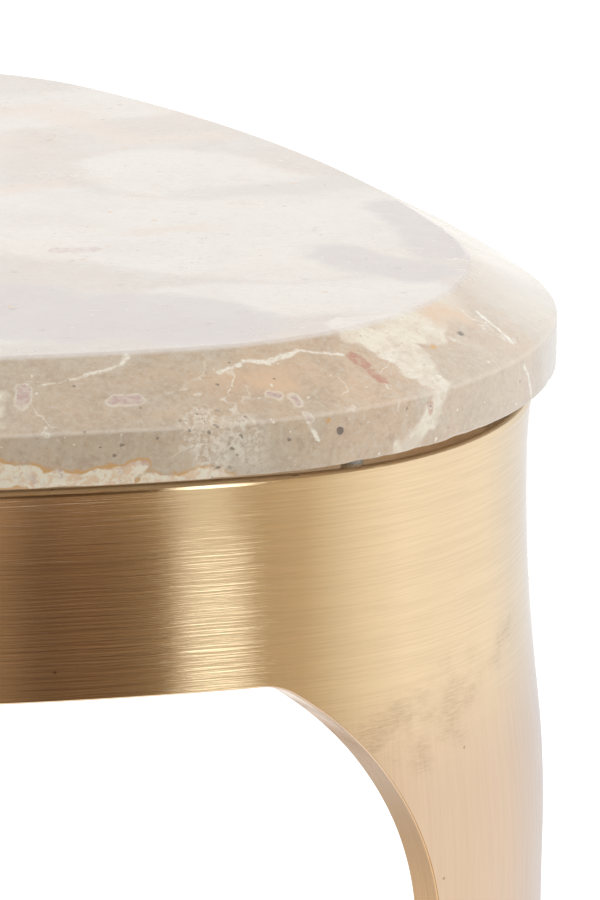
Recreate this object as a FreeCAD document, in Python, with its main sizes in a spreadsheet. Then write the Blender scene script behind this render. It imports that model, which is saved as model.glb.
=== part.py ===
import FreeCAD, Part
import math
import os
import Sketcher

from FreeCAD import Placement, Rotation, Vector

# Side table: a bevelled stone slab with a rounded-triangle outline on a cast brass base.
# The base is three alike castings, each a leg with half an apron to either side of it.
# The front is -Y, one flat side of the triangle faces it, and the floor is at height 0.

SIZES = (
    ("table_height", 520, "floor to the stone's top face"),
    ("stone_thickness", 30, "underside to top face"),
    ("stone_overhang", 13.7, "stone's reach beyond the apron, at the middle of a side"),
    ("stone_side_radius", 516, "curve of a stone side"),
    ("stone_corner_radius", 124.5, "curve of a stone corner"),
    ("bevel_run", 27, "width of the bevel, seen from above"),
    ("bevel_drop", 14.8, "height of the bevel"),
    ("stone_arris", 1.2, "rounding of the stone's edges"),
    ("bumper_height", 4.4, "gap between the stone and the apron"),
    ("bumper_diameter", 6.5, "clear pad on the apron's rim"),
    ("bumper_slope", 0.8, "bevel round the pad's top"),
    ("bumper_angle", 33, "from the leg's middle, round the corner"),
    ("base_side_reach", 177.5, "table axis to the middle of an apron side"),
    ("base_side_radius", 520, "curve of an apron side"),
    ("base_corner_radius", 92.2, "curve of an apron corner"),
    ("wall", 11, "thickness of the casting"),
    ("apron_height", 61.6, "rim to the apron's lower edge"),
    ("lip_radius", 2, "rounding of the rim"),
    ("lip_cove_radius", 190, "hollow curve below the rim"),
    ("waist_drop", 22, "rim to the narrowest part of the apron"),
    ("cove_radius", 625, "hollow curve below the waist"),
    ("knee_drop", 137, "rim to where the leg drops straight"),
    ("knee_flare", 7.2, "leg's reach beyond the waist"),
    ("leg_edge_angle", 18.7, "from the leg's middle to its edge at the knee"),
    ("leg_taper", 11, "how far each leg edge draws in down to the foot"),
    ("arch_radius", 110, "large curve of the arch"),
    ("arch_corner_radius", 14, "small curve where the arch meets the apron"),
    ("arch_drop", 86, "apron's lower edge to the arch's end on the leg"),
    ("pad_depth", 3, "flat seat for the bracket, proud of the wall"),
    ("pad_length", 40, "seat's length from the seam"),
    ("pad_height", 46, "seat's height"),
    ("rim_to_bracket", 2, "rim to the top of the bracket and its seat"),
    ("bracket_thickness", 4, "angle bracket's plate"),
    ("bracket_length", 76, "along the apron"),
    ("bracket_drop", 44, "upright flange"),
    ("bracket_reach", 38, "level flange, from the seat inwards"),
    ("bend_radius", 3, "inside of the bracket's bend"),
    ("joint_screw_inset", 22, "seam to the bracket's screws"),
    ("joint_screw_upper", 18, "bracket's top to its upper screws"),
    ("joint_screw_pitch", 17, "upper to lower screws"),
    ("joint_screw_diameter", 5, "shank"),
    ("joint_screw_length", 11, "below the head"),
    ("joint_head_diameter", 9.5, "pan head"),
    ("joint_head_height", 3.4, "pan head"),
    ("top_screw_inset", 23, "bracket's seat to the stone's screw"),
    ("top_screw_diameter", 6, "shank"),
    ("top_screw_length", 20, "below the head"),
    ("top_head_diameter", 11, "pan head"),
    ("top_head_height", 4.2, "pan head"),
    ("top_slot_length", 12, "bracket's slot, end to end"),
    ("washer_diameter", 17, "under the stone's screw"),
    ("washer_thickness", 1.6, "under the stone's screw"),
    ("insert_diameter", 9.5, "threaded sleeve in the stone"),
    ("insert_length", 12, "threaded sleeve in the stone"),
    ("glide_thickness", 4, "pad under each leg"),
    ("glide_margin", 0.8, "glide's edge inside the leg's edge"),
    ("glide_screw_spread", 22, "between a glide's two screws"),
    ("glide_screw_diameter", 3.5, "shank"),
    ("glide_screw_length", 16, "with its head"),
    ("glide_head_diameter", 6.6, "countersunk head"),
    ("glide_head_height", 1.8, "countersunk head"),
    ("glide_head_depth", 0.8, "head's face above the floor"),
    ("fit", 0.15, "clearance all round a shank or sleeve"),
    ("overrun", 10, "how far a cut runs past what it cuts"),
)

# Sizes that follow from the ones above. A corner's centre lies where its arc touches both side arcs.
FOLLOWING = (
    ("stone_side_reach", "Sizes.base_side_reach + Sizes.stone_overhang"),
    ("stone_pull", "Sizes.stone_side_radius - stone_side_reach"),
    ("stone_centre", "(sqrt(4 * (Sizes.stone_side_radius - Sizes.stone_corner_radius)^2"
                     " - 3 * stone_pull^2) - stone_pull) / 2"),
    ("base_pull", "Sizes.base_side_radius - Sizes.base_side_reach"),
    ("base_centre", "(sqrt(4 * (Sizes.base_side_radius - Sizes.base_corner_radius)^2"
                    " - 3 * base_pull^2) - base_pull) / 2"),
    ("side_turn", "asin(base_centre * sin(60 deg) / (Sizes.base_side_radius - Sizes.base_corner_radius))"),
    ("corner_turn", "60 deg - side_turn"),
    ("rim", "Sizes.table_height - Sizes.stone_thickness - Sizes.bumper_height"),
    ("apron_foot", "rim - Sizes.apron_height"),
    ("underside", "Sizes.table_height - Sizes.stone_thickness"),
    ("leg_radius", "Sizes.base_corner_radius + Sizes.knee_flare"),
    ("back_reach", "max(stone_centre + Sizes.stone_corner_radius; base_centre + leg_radius)"),
    ("axis_y", "(stone_side_reach - back_reach) / 2"),
    ("seat", "Sizes.base_side_reach - Sizes.wall - Sizes.pad_depth"),
    ("bracket_top", "rim - Sizes.rim_to_bracket"),
    ("top_screw_reach", "seat - Sizes.top_screw_inset"),
    ("bracket_underside", "bracket_top - Sizes.bracket_thickness"),
    ("foot_middle", "base_centre + leg_radius - Sizes.wall / 2"),
    ("foot_half_width", "leg_radius * sin(Sizes.leg_edge_angle * 1 deg)"
                        " - Sizes.leg_taper * cos(Sizes.leg_edge_angle * 1 deg)"),
)

CORNERS = {"front_right": -30, "back": 90, "front_left": 210}
SIDES = {"front": -90, "right": 30, "left": 150}
H_AXIS, V_AXIS = -1, -2
START, END, CENTRE = range(1, 4)

doc = FreeCAD.newDocument("side_table")
sizes = doc.addObject("Spreadsheet::Sheet", "Sizes")
following = doc.addObject("Spreadsheet::Sheet", "Following")


def fill_sheets():
    for row, (alias, value, note) in enumerate(SIZES, start=1):
        sizes.set(f"A{row}", str(value))
        sizes.setAlias(f"A{row}", alias)
        sizes.set(f"B{row}", note)
    doc.recompute()
    for row, (alias, formula) in enumerate(FOLLOWING, start=1):
        following.setAlias(f"A{row}", alias)
        following.set(f"A{row}", "=" + formula)
    doc.recompute()


def number(expression):
    """Present value of an expression on the two sheets."""
    value = sizes.evalExpression(str(expression))
    return float(getattr(value, "Value", value))


def new_body(name):
    body = doc.addObject("PartDesign::Body", name)
    body.Label = name
    return body


def plane(body, role):
    return next(f for f in body.Origin.OriginFeatures if f.Role == role)


def new_sketch(body, name, role, turn="0", base=("0", "0", "0")):
    """Sketch on an origin plane, moved by base and turned about its own upright by turn degrees."""
    sketch = body.newObject("Sketcher::SketchObject", name)
    sketch.AttachmentSupport = [(plane(body, role), "")]
    sketch.MapMode = "FlatFace"
    upright = Vector(0, 1, 0)
    sketch.AttachmentOffset = Placement(Vector(*map(number, base)), Rotation(upright, number(turn)))
    for axis, expression in zip("xyz", base):
        sketch.setExpression(f"AttachmentOffset.Base.{axis}", expression)
    if turn != "0":
        sketch.setExpression("AttachmentOffset.Rotation.Angle", turn)
    return sketch


def bind(sketch, kind, *where, to):
    """Adds a dimension and ties it to an expression."""
    index = sketch.addConstraint(Sketcher.Constraint(kind, *where, number(to)))
    sketch.setExpression(f"Constraints[{index}]", str(to))


def pin(sketch, geometry, point, across=None, up=None):
    """Ties a point's place in the sketch to expressions."""
    for kind, axis, place in (("DistanceX", V_AXIS, across), ("DistanceY", H_AXIS, up)):
        if place is None:
            continue
        if str(place) == "0":
            sketch.addConstraint(Sketcher.Constraint("PointOnObject", geometry, point, axis))
        else:
            bind(sketch, kind, geometry, point, to=place)


def join(sketch, kind, *pairs):
    for first, first_end, second, second_end in pairs:
        sketch.addConstraint(Sketcher.Constraint(kind, first, first_end, second, second_end))


def line(sketch, start, end):
    return sketch.addGeometry(Part.LineSegment(Vector(*start, 0), Vector(*end, 0)), False)


def arc(sketch, centre, radius, start, end):
    """Arc between two angles in radians, anticlockwise."""
    circle = Part.Circle(Vector(*centre, 0), Vector(0, 0, 1), radius)
    return sketch.addGeometry(Part.ArcOfCircle(circle, start, end), False)


def polygon(sketch, points):
    """Closed outline whose corners are pairs of expressions."""
    places = [(number(x), number(y)) for x, y in points]
    lines = [line(sketch, p, q) for p, q in zip(places, places[1:] + places[:1])]
    for here, after in zip(lines, lines[1:] + lines[:1]):
        join(sketch, "Coincident", (here, END, after, START))
    for edge, (x, y) in zip(lines, points):
        pin(sketch, edge, START, x, y)


def hole(sketch, across, up, radius):
    circle = Part.Circle(Vector(number(across), number(up), 0), Vector(0, 0, 1), number(radius))
    index = sketch.addGeometry(circle, False)
    bind(sketch, "Radius", index, to=radius)
    pin(sketch, index, CENTRE, across, up)


def pad(body, sketch, length, both_ways=False, backwards=False):
    feature = body.newObject("PartDesign::Pad", sketch.Name + "_pad")
    feature.Profile = sketch
    feature.setExpression("Length", length)
    feature.Midplane = both_ways
    feature.Reversed = backwards
    doc.recompute()
    return feature


def pocket(body, sketch, depth=None, backwards=False):
    """Cut to a depth, or through everything both ways. It has to take something away."""
    before = body.Shape.Volume
    feature = body.newObject("PartDesign::Pocket", sketch.Name + "_cut")
    feature.Profile = sketch
    if depth is None:
        feature.Type = "ThroughAll"
        feature.Midplane = True
    else:
        feature.setExpression("Length", depth)
        feature.Reversed = backwards
    doc.recompute()
    if not feature.Shape.Volume < before:
        raise RuntimeError(f"{feature.Name} takes nothing away")
    return feature


def revolve(body, sketch, angle="360"):
    feature = body.newObject("PartDesign::Revolution", sketch.Name + "_turn")
    feature.Profile = sketch
    feature.ReferenceAxis = (sketch, ["V_Axis"])
    feature.setExpression("Angle", angle)
    doc.recompute()
    return feature


def edges_at(shape, height):
    """Names of the edges that lie level at a height."""
    boxes = ((i, e.BoundBox) for i, e in enumerate(shape.Edges, start=1))
    return [f"Edge{i}" for i, b in boxes if abs(b.ZMin - height) + abs(b.ZMax - height) < 1e-4]


def place(piece, angle, reach="0", along="0", height="0", tilt=Rotation()):
    """Puts a piece at a reach from the table's axis in a direction, along its tangent and at a height."""
    piece.Placement = Placement(Vector(), Rotation(Vector(0, 0, 1), angle) * tilt)
    c = f"cos({angle} deg)"
    s = f"sin({angle} deg)"
    piece.setExpression("Placement.Base.x", f"({reach}) * {c} - ({along}) * {s}")
    piece.setExpression("Placement.Base.y", f"Following.axis_y + ({reach}) * {s} + ({along}) * {c}")
    piece.setExpression("Placement.Base.z", height)


def group(name, pieces):
    compound = doc.addObject("Part::Compound", name)
    compound.Label = name
    compound.Links = pieces
    return compound


def rounded_triangle(sketch, side_radius, corner_radius, pull, centre):
    """Six arcs, each tangent to the next: corners at -30, 90 and 210 degrees with sides between."""
    big, small, back, out = map(number, (side_radius, corner_radius, pull, centre))
    half = math.radians(60) - math.asin(out * math.sin(math.radians(60)) / (big - small))
    arcs = []
    for corner in CORNERS.values():
        middle = math.radians(corner)
        spot = (out * math.cos(middle), out * math.sin(middle))
        arcs.append(arc(sketch, spot, small, middle - half, middle + half))
        side = middle + math.radians(60)
        spot = (-back * math.cos(side), -back * math.sin(side))
        arcs.append(arc(sketch, spot, big, middle + half, side + math.radians(60) - half))
    for here, after in zip(arcs, arcs[1:] + arcs[:1]):
        join(sketch, "Tangent", (here, END, after, START))
    for index, corner in enumerate(CORNERS.values()):
        bind(sketch, "Radius", arcs[2 * index], to=corner_radius)
        side = arcs[2 * index + 1]
        bind(sketch, "Radius", side, to=side_radius)
        turn = (corner + 60) % 360
        across = "0" if turn % 180 == 90 else f"-{pull} * cos({turn} deg)"
        pin(sketch, side, CENTRE, across, f"-{pull} * sin({turn} deg)")


def make_stone_top():
    body = new_body("stone_top")
    outline = new_sketch(body, "stone_outline", "XY_Plane")
    rounded_triangle(outline, "Sizes.stone_side_radius", "Sizes.stone_corner_radius",
                     "Following.stone_pull", "Following.stone_centre")
    slab = pad(body, outline, "Sizes.stone_thickness")
    bevel = body.newObject("PartDesign::Chamfer", "stone_bevel")
    bevel.Base = (slab, edges_at(slab.Shape, number("Sizes.stone_thickness")))
    bevel.ChamferType = "Two distances"
    bevel.setExpression("Size", "Sizes.bevel_drop")
    bevel.setExpression("Size2", "Sizes.bevel_run")
    doc.recompute()
    arris = body.newObject("PartDesign::Fillet", "stone_arris")
    levels = map(number, ("0", "Sizes.stone_thickness - Sizes.bevel_drop", "Sizes.stone_thickness"))
    arris.Base = (bevel, [name for level in levels for name in edges_at(bevel.Shape, level)])
    arris.setExpression("Radius", "Sizes.stone_arris")
    doc.recompute()
    sockets = new_sketch(body, "insert_sockets", "XY_Plane")
    for side in SIDES.values():
        reach = "Following.top_screw_reach"
        across = "0" if side == -90 else f"{reach} * cos({side} deg)"
        hole(sockets, across, f"{reach} * sin({side} deg)", "Sizes.insert_diameter / 2 + Sizes.fit")
    pocket(body, sockets, "Sizes.insert_length", backwards=True)
    place(body, 0, height="Following.underside")
    return body


def wall_profile(sketch, radius):
    """Upright section of the casting at a given plan radius: rim, waist, knee and straight leg."""
    base, wall, flare = map(number, (radius, "Sizes.wall", "Sizes.knee_flare"))
    cove, lip, lip_cove = map(number, ("Sizes.cove_radius", "Sizes.lip_radius", "Sizes.lip_cove_radius"))
    foot, rim = map(number, ("Sizes.glide_thickness", "Following.rim"))
    waist = rim - number("Sizes.waist_drop")
    knee = rim - number("Sizes.knee_drop")
    turn = 2 * math.atan2(flare, waist - knee)
    bulge = (waist - knee) / math.sin(turn) - cove
    leg = base + flare
    lip_x = base + lip_cove - math.sqrt((lip_cove + lip) ** 2 - (rim - lip - waist) ** 2)
    lip_turn = math.asin((rim - lip - waist) / (lip_cove + lip))
    half = math.pi

    sole = line(sketch, (leg - wall, foot), (leg, foot))
    outer_leg = line(sketch, (leg, foot), (leg, knee))
    outer_knee = arc(sketch, (leg - bulge, knee), bulge, 0, turn)
    outer_cove = arc(sketch, (base + cove, waist), cove, half, half + turn)
    rim_cove = arc(sketch, (base + lip_cove, waist), lip_cove, half - lip_turn, half)
    rim_lip = arc(sketch, (lip_x, rim - lip), lip, -lip_turn, half / 2)
    rim_top = line(sketch, (lip_x, rim), (base - wall, rim))
    inner_apron = line(sketch, (base - wall, rim), (base - wall, waist))
    inner_cove = arc(sketch, (base + cove, waist), cove + wall, half, half + turn)
    inner_knee = arc(sketch, (leg - bulge, knee), bulge - wall, 0, turn)
    inner_leg = line(sketch, (leg - wall, knee), (leg - wall, foot))

    join(sketch, "Coincident", (sole, END, outer_leg, START), (rim_top, END, inner_apron, START),
         (inner_leg, END, sole, START))
    join(sketch, "Tangent", (outer_leg, END, outer_knee, START), (outer_knee, END, outer_cove, END),
         (outer_cove, START, rim_cove, END), (rim_cove, START, rim_lip, START),
         (rim_lip, END, rim_top, START), (inner_apron, END, inner_cove, START),
         (inner_cove, END, inner_knee, END), (inner_knee, START, inner_leg, START))
    for level in (sole, rim_top):
        sketch.addConstraint(Sketcher.Constraint("Horizontal", level))
    for upright in (outer_leg, inner_apron, inner_leg):
        sketch.addConstraint(Sketcher.Constraint("Vertical", upright))
    waist_level = "Following.rim - Sizes.waist_drop"
    knee_level = "Following.rim - Sizes.knee_drop"
    pin(sketch, sole, END, f"{radius} + Sizes.knee_flare", "Sizes.glide_thickness")
    pin(sketch, outer_leg, END, up=knee_level)
    pin(sketch, outer_cove, START, radius, waist_level)
    pin(sketch, outer_cove, CENTRE, up=waist_level)
    bind(sketch, "Radius", outer_cove, to="Sizes.cove_radius")
    bind(sketch, "Radius", rim_cove, to="Sizes.lip_cove_radius")
    bind(sketch, "Radius", rim_lip, to="Sizes.lip_radius")
    pin(sketch, inner_apron, START, f"{radius} - Sizes.wall", "Following.rim")
    pin(sketch, inner_apron, END, up=waist_level)
    bind(sketch, "Radius", inner_cove, to="Sizes.cove_radius + Sizes.wall")
    pin(sketch, inner_leg, START, f"{radius} + Sizes.knee_flare - Sizes.wall", knee_level)


def arch_profile(sketch):
    """The gap beside a leg: tapering leg edge, large arch, small turn and the apron's lower edge."""
    taper, big, small = map(number, ("Sizes.leg_taper", "Sizes.arch_radius", "Sizes.arch_corner_radius"))
    foot, top = number("Sizes.glide_thickness"), number("Following.apron_foot")
    knee = top - number("Sizes.arch_drop")
    past = number("Sizes.overrun")
    far = number("Sizes.base_side_reach")
    lean = math.atan2(taper, knee - foot)
    centre = (big * math.cos(lean), knee - big * math.sin(lean))
    rise = top - small - centre[1]
    small_x = centre[0] - math.sqrt((big - small) ** 2 - rise ** 2)
    turn = math.pi - math.asin(rise / (big - small))

    below = line(sketch, (-taper, foot - past), (-taper, foot))
    leg_edge = line(sketch, (-taper, foot), (0, knee))
    arch = arc(sketch, centre, big, turn, math.pi - lean)
    corner = arc(sketch, (small_x, top - small), small, math.pi / 2, turn)
    apron_edge = line(sketch, (small_x, top), (far, top))
    end = line(sketch, (far, top), (far, foot - past))
    floor = line(sketch, (far, foot - past), (-taper, foot - past))

    join(sketch, "Coincident", (below, END, leg_edge, START), (apron_edge, END, end, START),
         (end, END, floor, START), (floor, END, below, START))
    join(sketch, "Tangent", (leg_edge, END, arch, END), (arch, START, corner, END),
         (corner, START, apron_edge, START))
    for level in (apron_edge, floor):
        sketch.addConstraint(Sketcher.Constraint("Horizontal", level))
    for upright in (below, end):
        sketch.addConstraint(Sketcher.Constraint("Vertical", upright))
    pin(sketch, leg_edge, START, "-Sizes.leg_taper", "Sizes.glide_thickness")
    pin(sketch, leg_edge, END, "0", "Following.apron_foot - Sizes.arch_drop")
    bind(sketch, "Radius", arch, to="Sizes.arch_radius")
    bind(sketch, "Radius", corner, to="Sizes.arch_corner_radius")
    pin(sketch, end, START, "Sizes.base_side_reach", "Following.apron_foot")
    pin(sketch, floor, START, up="Sizes.glide_thickness - Sizes.overrun")


def make_leg_casting(corner):
    """One leg and half an apron to either side, made as a half and mirrored on the leg's middle."""
    body = new_body(f"leg_casting_{corner}")
    round_corner = new_sketch(body, "corner_wall", "XZ_Plane", base=("Following.base_centre", "0", "0"))
    wall_profile(round_corner, "Sizes.base_corner_radius")
    revolve(body, round_corner, "Following.corner_turn")
    side_centre = ("-Following.base_pull * cos(60 deg)", "0", "Following.base_pull * sin(60 deg)")
    along_side = new_sketch(body, "side_wall", "XZ_Plane", turn="Following.corner_turn", base=side_centre)
    wall_profile(along_side, "Sizes.base_side_radius")
    revolve(body, along_side, "Following.side_turn")
    arch = new_sketch(body, "arch", "YZ_Plane", turn="Sizes.leg_edge_angle",
                      base=("0", "0", "Following.base_centre"))
    arch_profile(arch)
    pocket(body, arch)
    at_seat = ("Following.seat * sin(60 deg)", "0", "Following.seat * cos(60 deg)")
    seat = new_sketch(body, "bracket_seat", "YZ_Plane", turn="60", base=at_seat)
    top = "Following.bracket_top"
    polygon(seat, (("0", top), ("-Sizes.pad_length", top),
                   ("-Sizes.pad_length", f"{top} - Sizes.pad_height"), ("0", f"{top} - Sizes.pad_height")))
    pad(body, seat, "Sizes.pad_depth + Sizes.wall / 2")
    threads = new_sketch(body, "seat_threads", "YZ_Plane", turn="60", base=at_seat)
    for height in screw_levels():
        hole(threads, "-Sizes.joint_screw_inset", height, "Sizes.joint_screw_diameter / 2 + Sizes.fit")
    pocket(body, threads, "Sizes.joint_screw_length", backwards=True)
    sole = new_sketch(body, "sole_hole", "XY_Plane", base=("0", "0", "Sizes.glide_thickness"))
    hole(sole, "Following.foot_middle", "Sizes.glide_screw_spread / 2",
         "Sizes.glide_screw_diameter / 2 + Sizes.fit")
    pocket(body, sole, "Sizes.glide_screw_length", backwards=True)
    whole = body.newObject("PartDesign::Mirrored", "other_half")
    whole.TransformMode = "Whole shape"
    whole.MirrorPlane = (plane(body, "XZ_Plane"), [""])
    body.Tip = whole
    place(body, CORNERS[corner])
    return body


def screw_levels():
    upper = "Following.bracket_top - Sizes.joint_screw_upper"
    return upper, f"{upper} - Sizes.joint_screw_pitch"


def make_bracket(side):
    """Bent angle across a seam: one flange joins two castings, the other holds the stone."""
    body = new_body(f"splice_bracket_{side}")
    section = new_sketch(body, "angle_section", "XZ_Plane")
    seat, top = map(number, ("Following.seat", "Following.bracket_top"))
    reach, drop = map(number, ("Sizes.bracket_reach", "Sizes.bracket_drop"))
    plate, bend = map(number, ("Sizes.bracket_thickness", "Sizes.bend_radius"))
    outer = bend + plate
    bend_middle = (seat - outer, top - outer)
    upright = line(section, (seat, top - drop), (seat, top - outer))
    outer_bend = arc(section, bend_middle, outer, 0, math.pi / 2)
    level = line(section, (seat - outer, top), (seat - reach, top))
    tip = line(section, (seat - reach, top), (seat - reach, top - plate))
    under = line(section, (seat - reach, top - plate), (seat - outer, top - plate))
    inner_bend = arc(section, bend_middle, bend, 0, math.pi / 2)
    inside = line(section, (seat - plate, top - outer), (seat - plate, top - drop))
    toe = line(section, (seat - plate, top - drop), (seat, top - drop))
    join(section, "Tangent", (upright, END, outer_bend, START), (outer_bend, END, level, START),
         (under, END, inner_bend, END), (inner_bend, START, inside, START))
    join(section, "Coincident", (level, END, tip, START), (tip, END, under, START),
         (inside, END, toe, START), (toe, END, upright, START))
    for flat in (level, under, toe):
        section.addConstraint(Sketcher.Constraint("Horizontal", flat))
    for standing in (upright, tip, inside):
        section.addConstraint(Sketcher.Constraint("Vertical", standing))
    pin(section, toe, END, "Following.seat", "Following.bracket_top - Sizes.bracket_drop")
    pin(section, tip, START, "Following.seat - Sizes.bracket_reach", "Following.bracket_top")
    pin(section, tip, END, up="Following.bracket_underside")
    pin(section, toe, START, "Following.seat - Sizes.bracket_thickness")
    bind(section, "Radius", inner_bend, to="Sizes.bend_radius")
    bind(section, "Radius", outer_bend, to="Sizes.bend_radius + Sizes.bracket_thickness")
    pad(body, section, "Sizes.bracket_length", both_ways=True)
    drilled = new_sketch(body, "screw_holes", "YZ_Plane", base=("0", "0", "Following.seat"))
    for height in screw_levels():
        for way in ("-", ""):
            hole(drilled, f"{way}Sizes.joint_screw_inset", height,
                 "Sizes.joint_screw_diameter / 2 + 2 * Sizes.fit")
    pocket(body, drilled, "Sizes.bracket_thickness * 2")
    slot = new_sketch(body, "stone_slot", "XY_Plane", base=("0", "0", "Following.bracket_top"))
    slot_profile(slot)
    pocket(body, slot, "Sizes.bracket_thickness * 2")
    place(body, SIDES[side])
    return body


def slot_profile(sketch):
    """Slot along the apron for the stone's screw."""
    reach = number("Following.top_screw_reach")
    radius = number("Sizes.top_screw_diameter / 2 + 2 * Sizes.fit")
    half = number("Sizes.top_slot_length / 2") - radius
    left = arc(sketch, (reach, half), radius, 0, math.pi)
    right = arc(sketch, (reach, -half), radius, math.pi, 2 * math.pi)
    near = line(sketch, (reach - radius, half), (reach - radius, -half))
    beyond = line(sketch, (reach + radius, -half), (reach + radius, half))
    join(sketch, "Tangent", (left, END, near, START), (near, END, right, START),
         (right, END, beyond, START), (beyond, END, left, START))
    half_run = "(Sizes.top_slot_length - Sizes.top_screw_diameter) / 2 - 2 * Sizes.fit"
    pin(sketch, left, CENTRE, "Following.top_screw_reach", half_run)
    pin(sketch, right, CENTRE, up=f"-({half_run})")
    bind(sketch, "Radius", left, to="Sizes.top_screw_diameter / 2 + 2 * Sizes.fit")
    sketch.addConstraint(Sketcher.Constraint("Vertical", near))


def turned(name, points):
    """Solid of revolution about its own upright axis, from pairs of expressions."""
    body = new_body(name)
    section = new_sketch(body, "section", "XZ_Plane")
    polygon(section, points)
    revolve(body, section)
    return body


def pan_screw(name, diameter, length, head_diameter, head_height):
    """Pan head screw with its shank upwards from height 0 and its head, a quarter of it sloped, below."""
    crown = f"-{head_height}"
    rim = f"{head_diameter} / 2"
    slope = f"{head_diameter} / 8"
    return turned(name, (("0", crown), (f"{rim} - {slope}", crown), (rim, f"{crown} + {slope}"), (rim, "0"),
                         (f"{diameter} / 2", "0"), (f"{diameter} / 2", length), ("0", length)))


def make_joint_screws(side):
    inwards = Rotation(Vector(0, 1, 0), 90)
    screws = []
    for level, height in zip(("upper", "lower"), screw_levels()):
        for hand, along in (("left", "-Sizes.joint_screw_inset"), ("right", "Sizes.joint_screw_inset")):
            screw = pan_screw(f"joint_screw_{side}_{level}_{hand}",
                              "Sizes.joint_screw_diameter", "Sizes.joint_screw_length",
                              "Sizes.joint_head_diameter", "Sizes.joint_head_height")
            place(screw, SIDES[side], "Following.seat - Sizes.bracket_thickness", along, height, inwards)
            screws.append(screw)
    return group(f"splice_screws_{side}", screws)


def make_top_fixings():
    """The stone's screws, each with a washer below the bracket and a threaded sleeve in the stone."""
    screws, washers, inserts = [], [], []
    bore = "Sizes.top_screw_diameter / 2 + Sizes.fit"
    for side, angle in SIDES.items():
        screw = pan_screw(f"top_screw_{side}", "Sizes.top_screw_diameter", "Sizes.top_screw_length",
                          "Sizes.top_head_diameter", "Sizes.top_head_height")
        under_washer = "Following.bracket_underside - Sizes.washer_thickness"
        place(screw, angle, "Following.top_screw_reach", height=under_washer)
        rim = "Sizes.washer_diameter / 2"
        washer = turned(f"top_washer_{side}", ((bore, "0"), (rim, "0"), (rim, "Sizes.washer_thickness"),
                                               (bore, "Sizes.washer_thickness")))
        place(washer, angle, "Following.top_screw_reach", height=under_washer)
        sleeve = "Sizes.insert_diameter / 2"
        depth = "Sizes.insert_length"
        insert = turned(f"stone_insert_{side}",
                        ((bore, "0"), (sleeve, "0"), (sleeve, depth), (bore, depth)))
        place(insert, angle, "Following.top_screw_reach", height="Following.underside")
        screws.append(screw)
        washers.append(washer)
        inserts.append(insert)
    return [group("top_screws", screws), group("top_washers", washers), group("stone_inserts", inserts)]


def make_bumpers():
    """Clear pads on the rim, one to either side of each leg, that carry the stone."""
    pads = []
    edge, top, slope = "Sizes.bumper_diameter / 2", "Sizes.bumper_height", "Sizes.bumper_slope"
    out = "(Sizes.base_corner_radius - Sizes.wall / 2)"
    reach = f"Following.base_centre + {out} * cos(Sizes.bumper_angle * 1 deg)"
    for corner, angle in CORNERS.items():
        for hand, way in (("left", "-"), ("right", "")):
            bumper = turned(f"bumper_{corner}_{hand}", (("0", "0"), (edge, "0"), (edge, f"{top} - {slope}"),
                                                        (f"{edge} - {slope}", top), ("0", top)))
            along = f"{way}{out} * sin(Sizes.bumper_angle * 1 deg)"
            place(bumper, angle, reach, along, "Following.rim")
            pads.append(bumper)
    return group("bumper_pads", pads)


def make_glide(corner):
    """Pad that follows the leg's curved foot, with two countersunk holes."""
    body = new_body(f"foot_glide_{corner}")
    outline = new_sketch(body, "glide_outline", "XY_Plane")
    margin = "Sizes.glide_margin"
    outer, inner = f"Following.leg_radius - {margin}", f"Following.leg_radius - Sizes.wall + {margin}"
    half_width = f"Following.foot_half_width - {margin} - Sizes.wall * sin(Sizes.leg_edge_angle * 1 deg)"
    centre, big, small, half = map(number, ("Following.base_centre", outer, inner, half_width))
    ends = [math.asin(half / radius) for radius in (big, small)]
    front = arc(outline, (centre, 0), big, -ends[0], ends[0])
    back = arc(outline, (centre, 0), small, -ends[1], ends[1])
    for way, point in ((-1, START), (1, END)):
        spots = [(centre + r * math.cos(a), way * r * math.sin(a)) for r, a in zip((big, small), ends)]
        side = line(outline, *spots)
        join(outline, "Coincident", (side, START, front, point), (side, END, back, point))
        outline.addConstraint(Sketcher.Constraint("Horizontal", side))
        pin(outline, side, START, up=half_width if way == 1 else f"-({half_width})")
    pin(outline, front, CENTRE, "Following.base_centre", "0")
    join(outline, "Coincident", (front, CENTRE, back, CENTRE))
    bind(outline, "Radius", front, to=outer)
    bind(outline, "Radius", back, to=inner)
    pad(body, outline, "Sizes.glide_thickness")
    for way, hand in (("-", "left"), ("", "right")):
        sink = new_sketch(body, f"screw_sink_{hand}", "XZ_Plane",
                          base=("Following.foot_middle", "0", f"{way}Sizes.glide_screw_spread / 2"))
        head = "Sizes.glide_head_diameter / 2 + Sizes.fit"
        shank = "Sizes.glide_screw_diameter / 2 + Sizes.fit"
        shoulder = "Sizes.glide_head_depth + Sizes.glide_head_height"
        polygon(sink, (("0", "-Sizes.overrun"), (head, "-Sizes.overrun"), (head, "Sizes.glide_head_depth"),
                       (shank, shoulder), (shank, "Sizes.glide_thickness + Sizes.overrun"),
                       ("0", "Sizes.glide_thickness + Sizes.overrun")))
        before = body.Shape.Volume
        groove = body.newObject("PartDesign::Groove", f"screw_sink_{hand}_cut")
        groove.Profile = sink
        groove.ReferenceAxis = (sink, ["V_Axis"])
        groove.Angle = 360
        doc.recompute()
        if not groove.Shape.Volume < before:
            raise RuntimeError("a glide's screw hole takes nothing away")
    place(body, CORNERS[corner])
    return body


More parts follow.
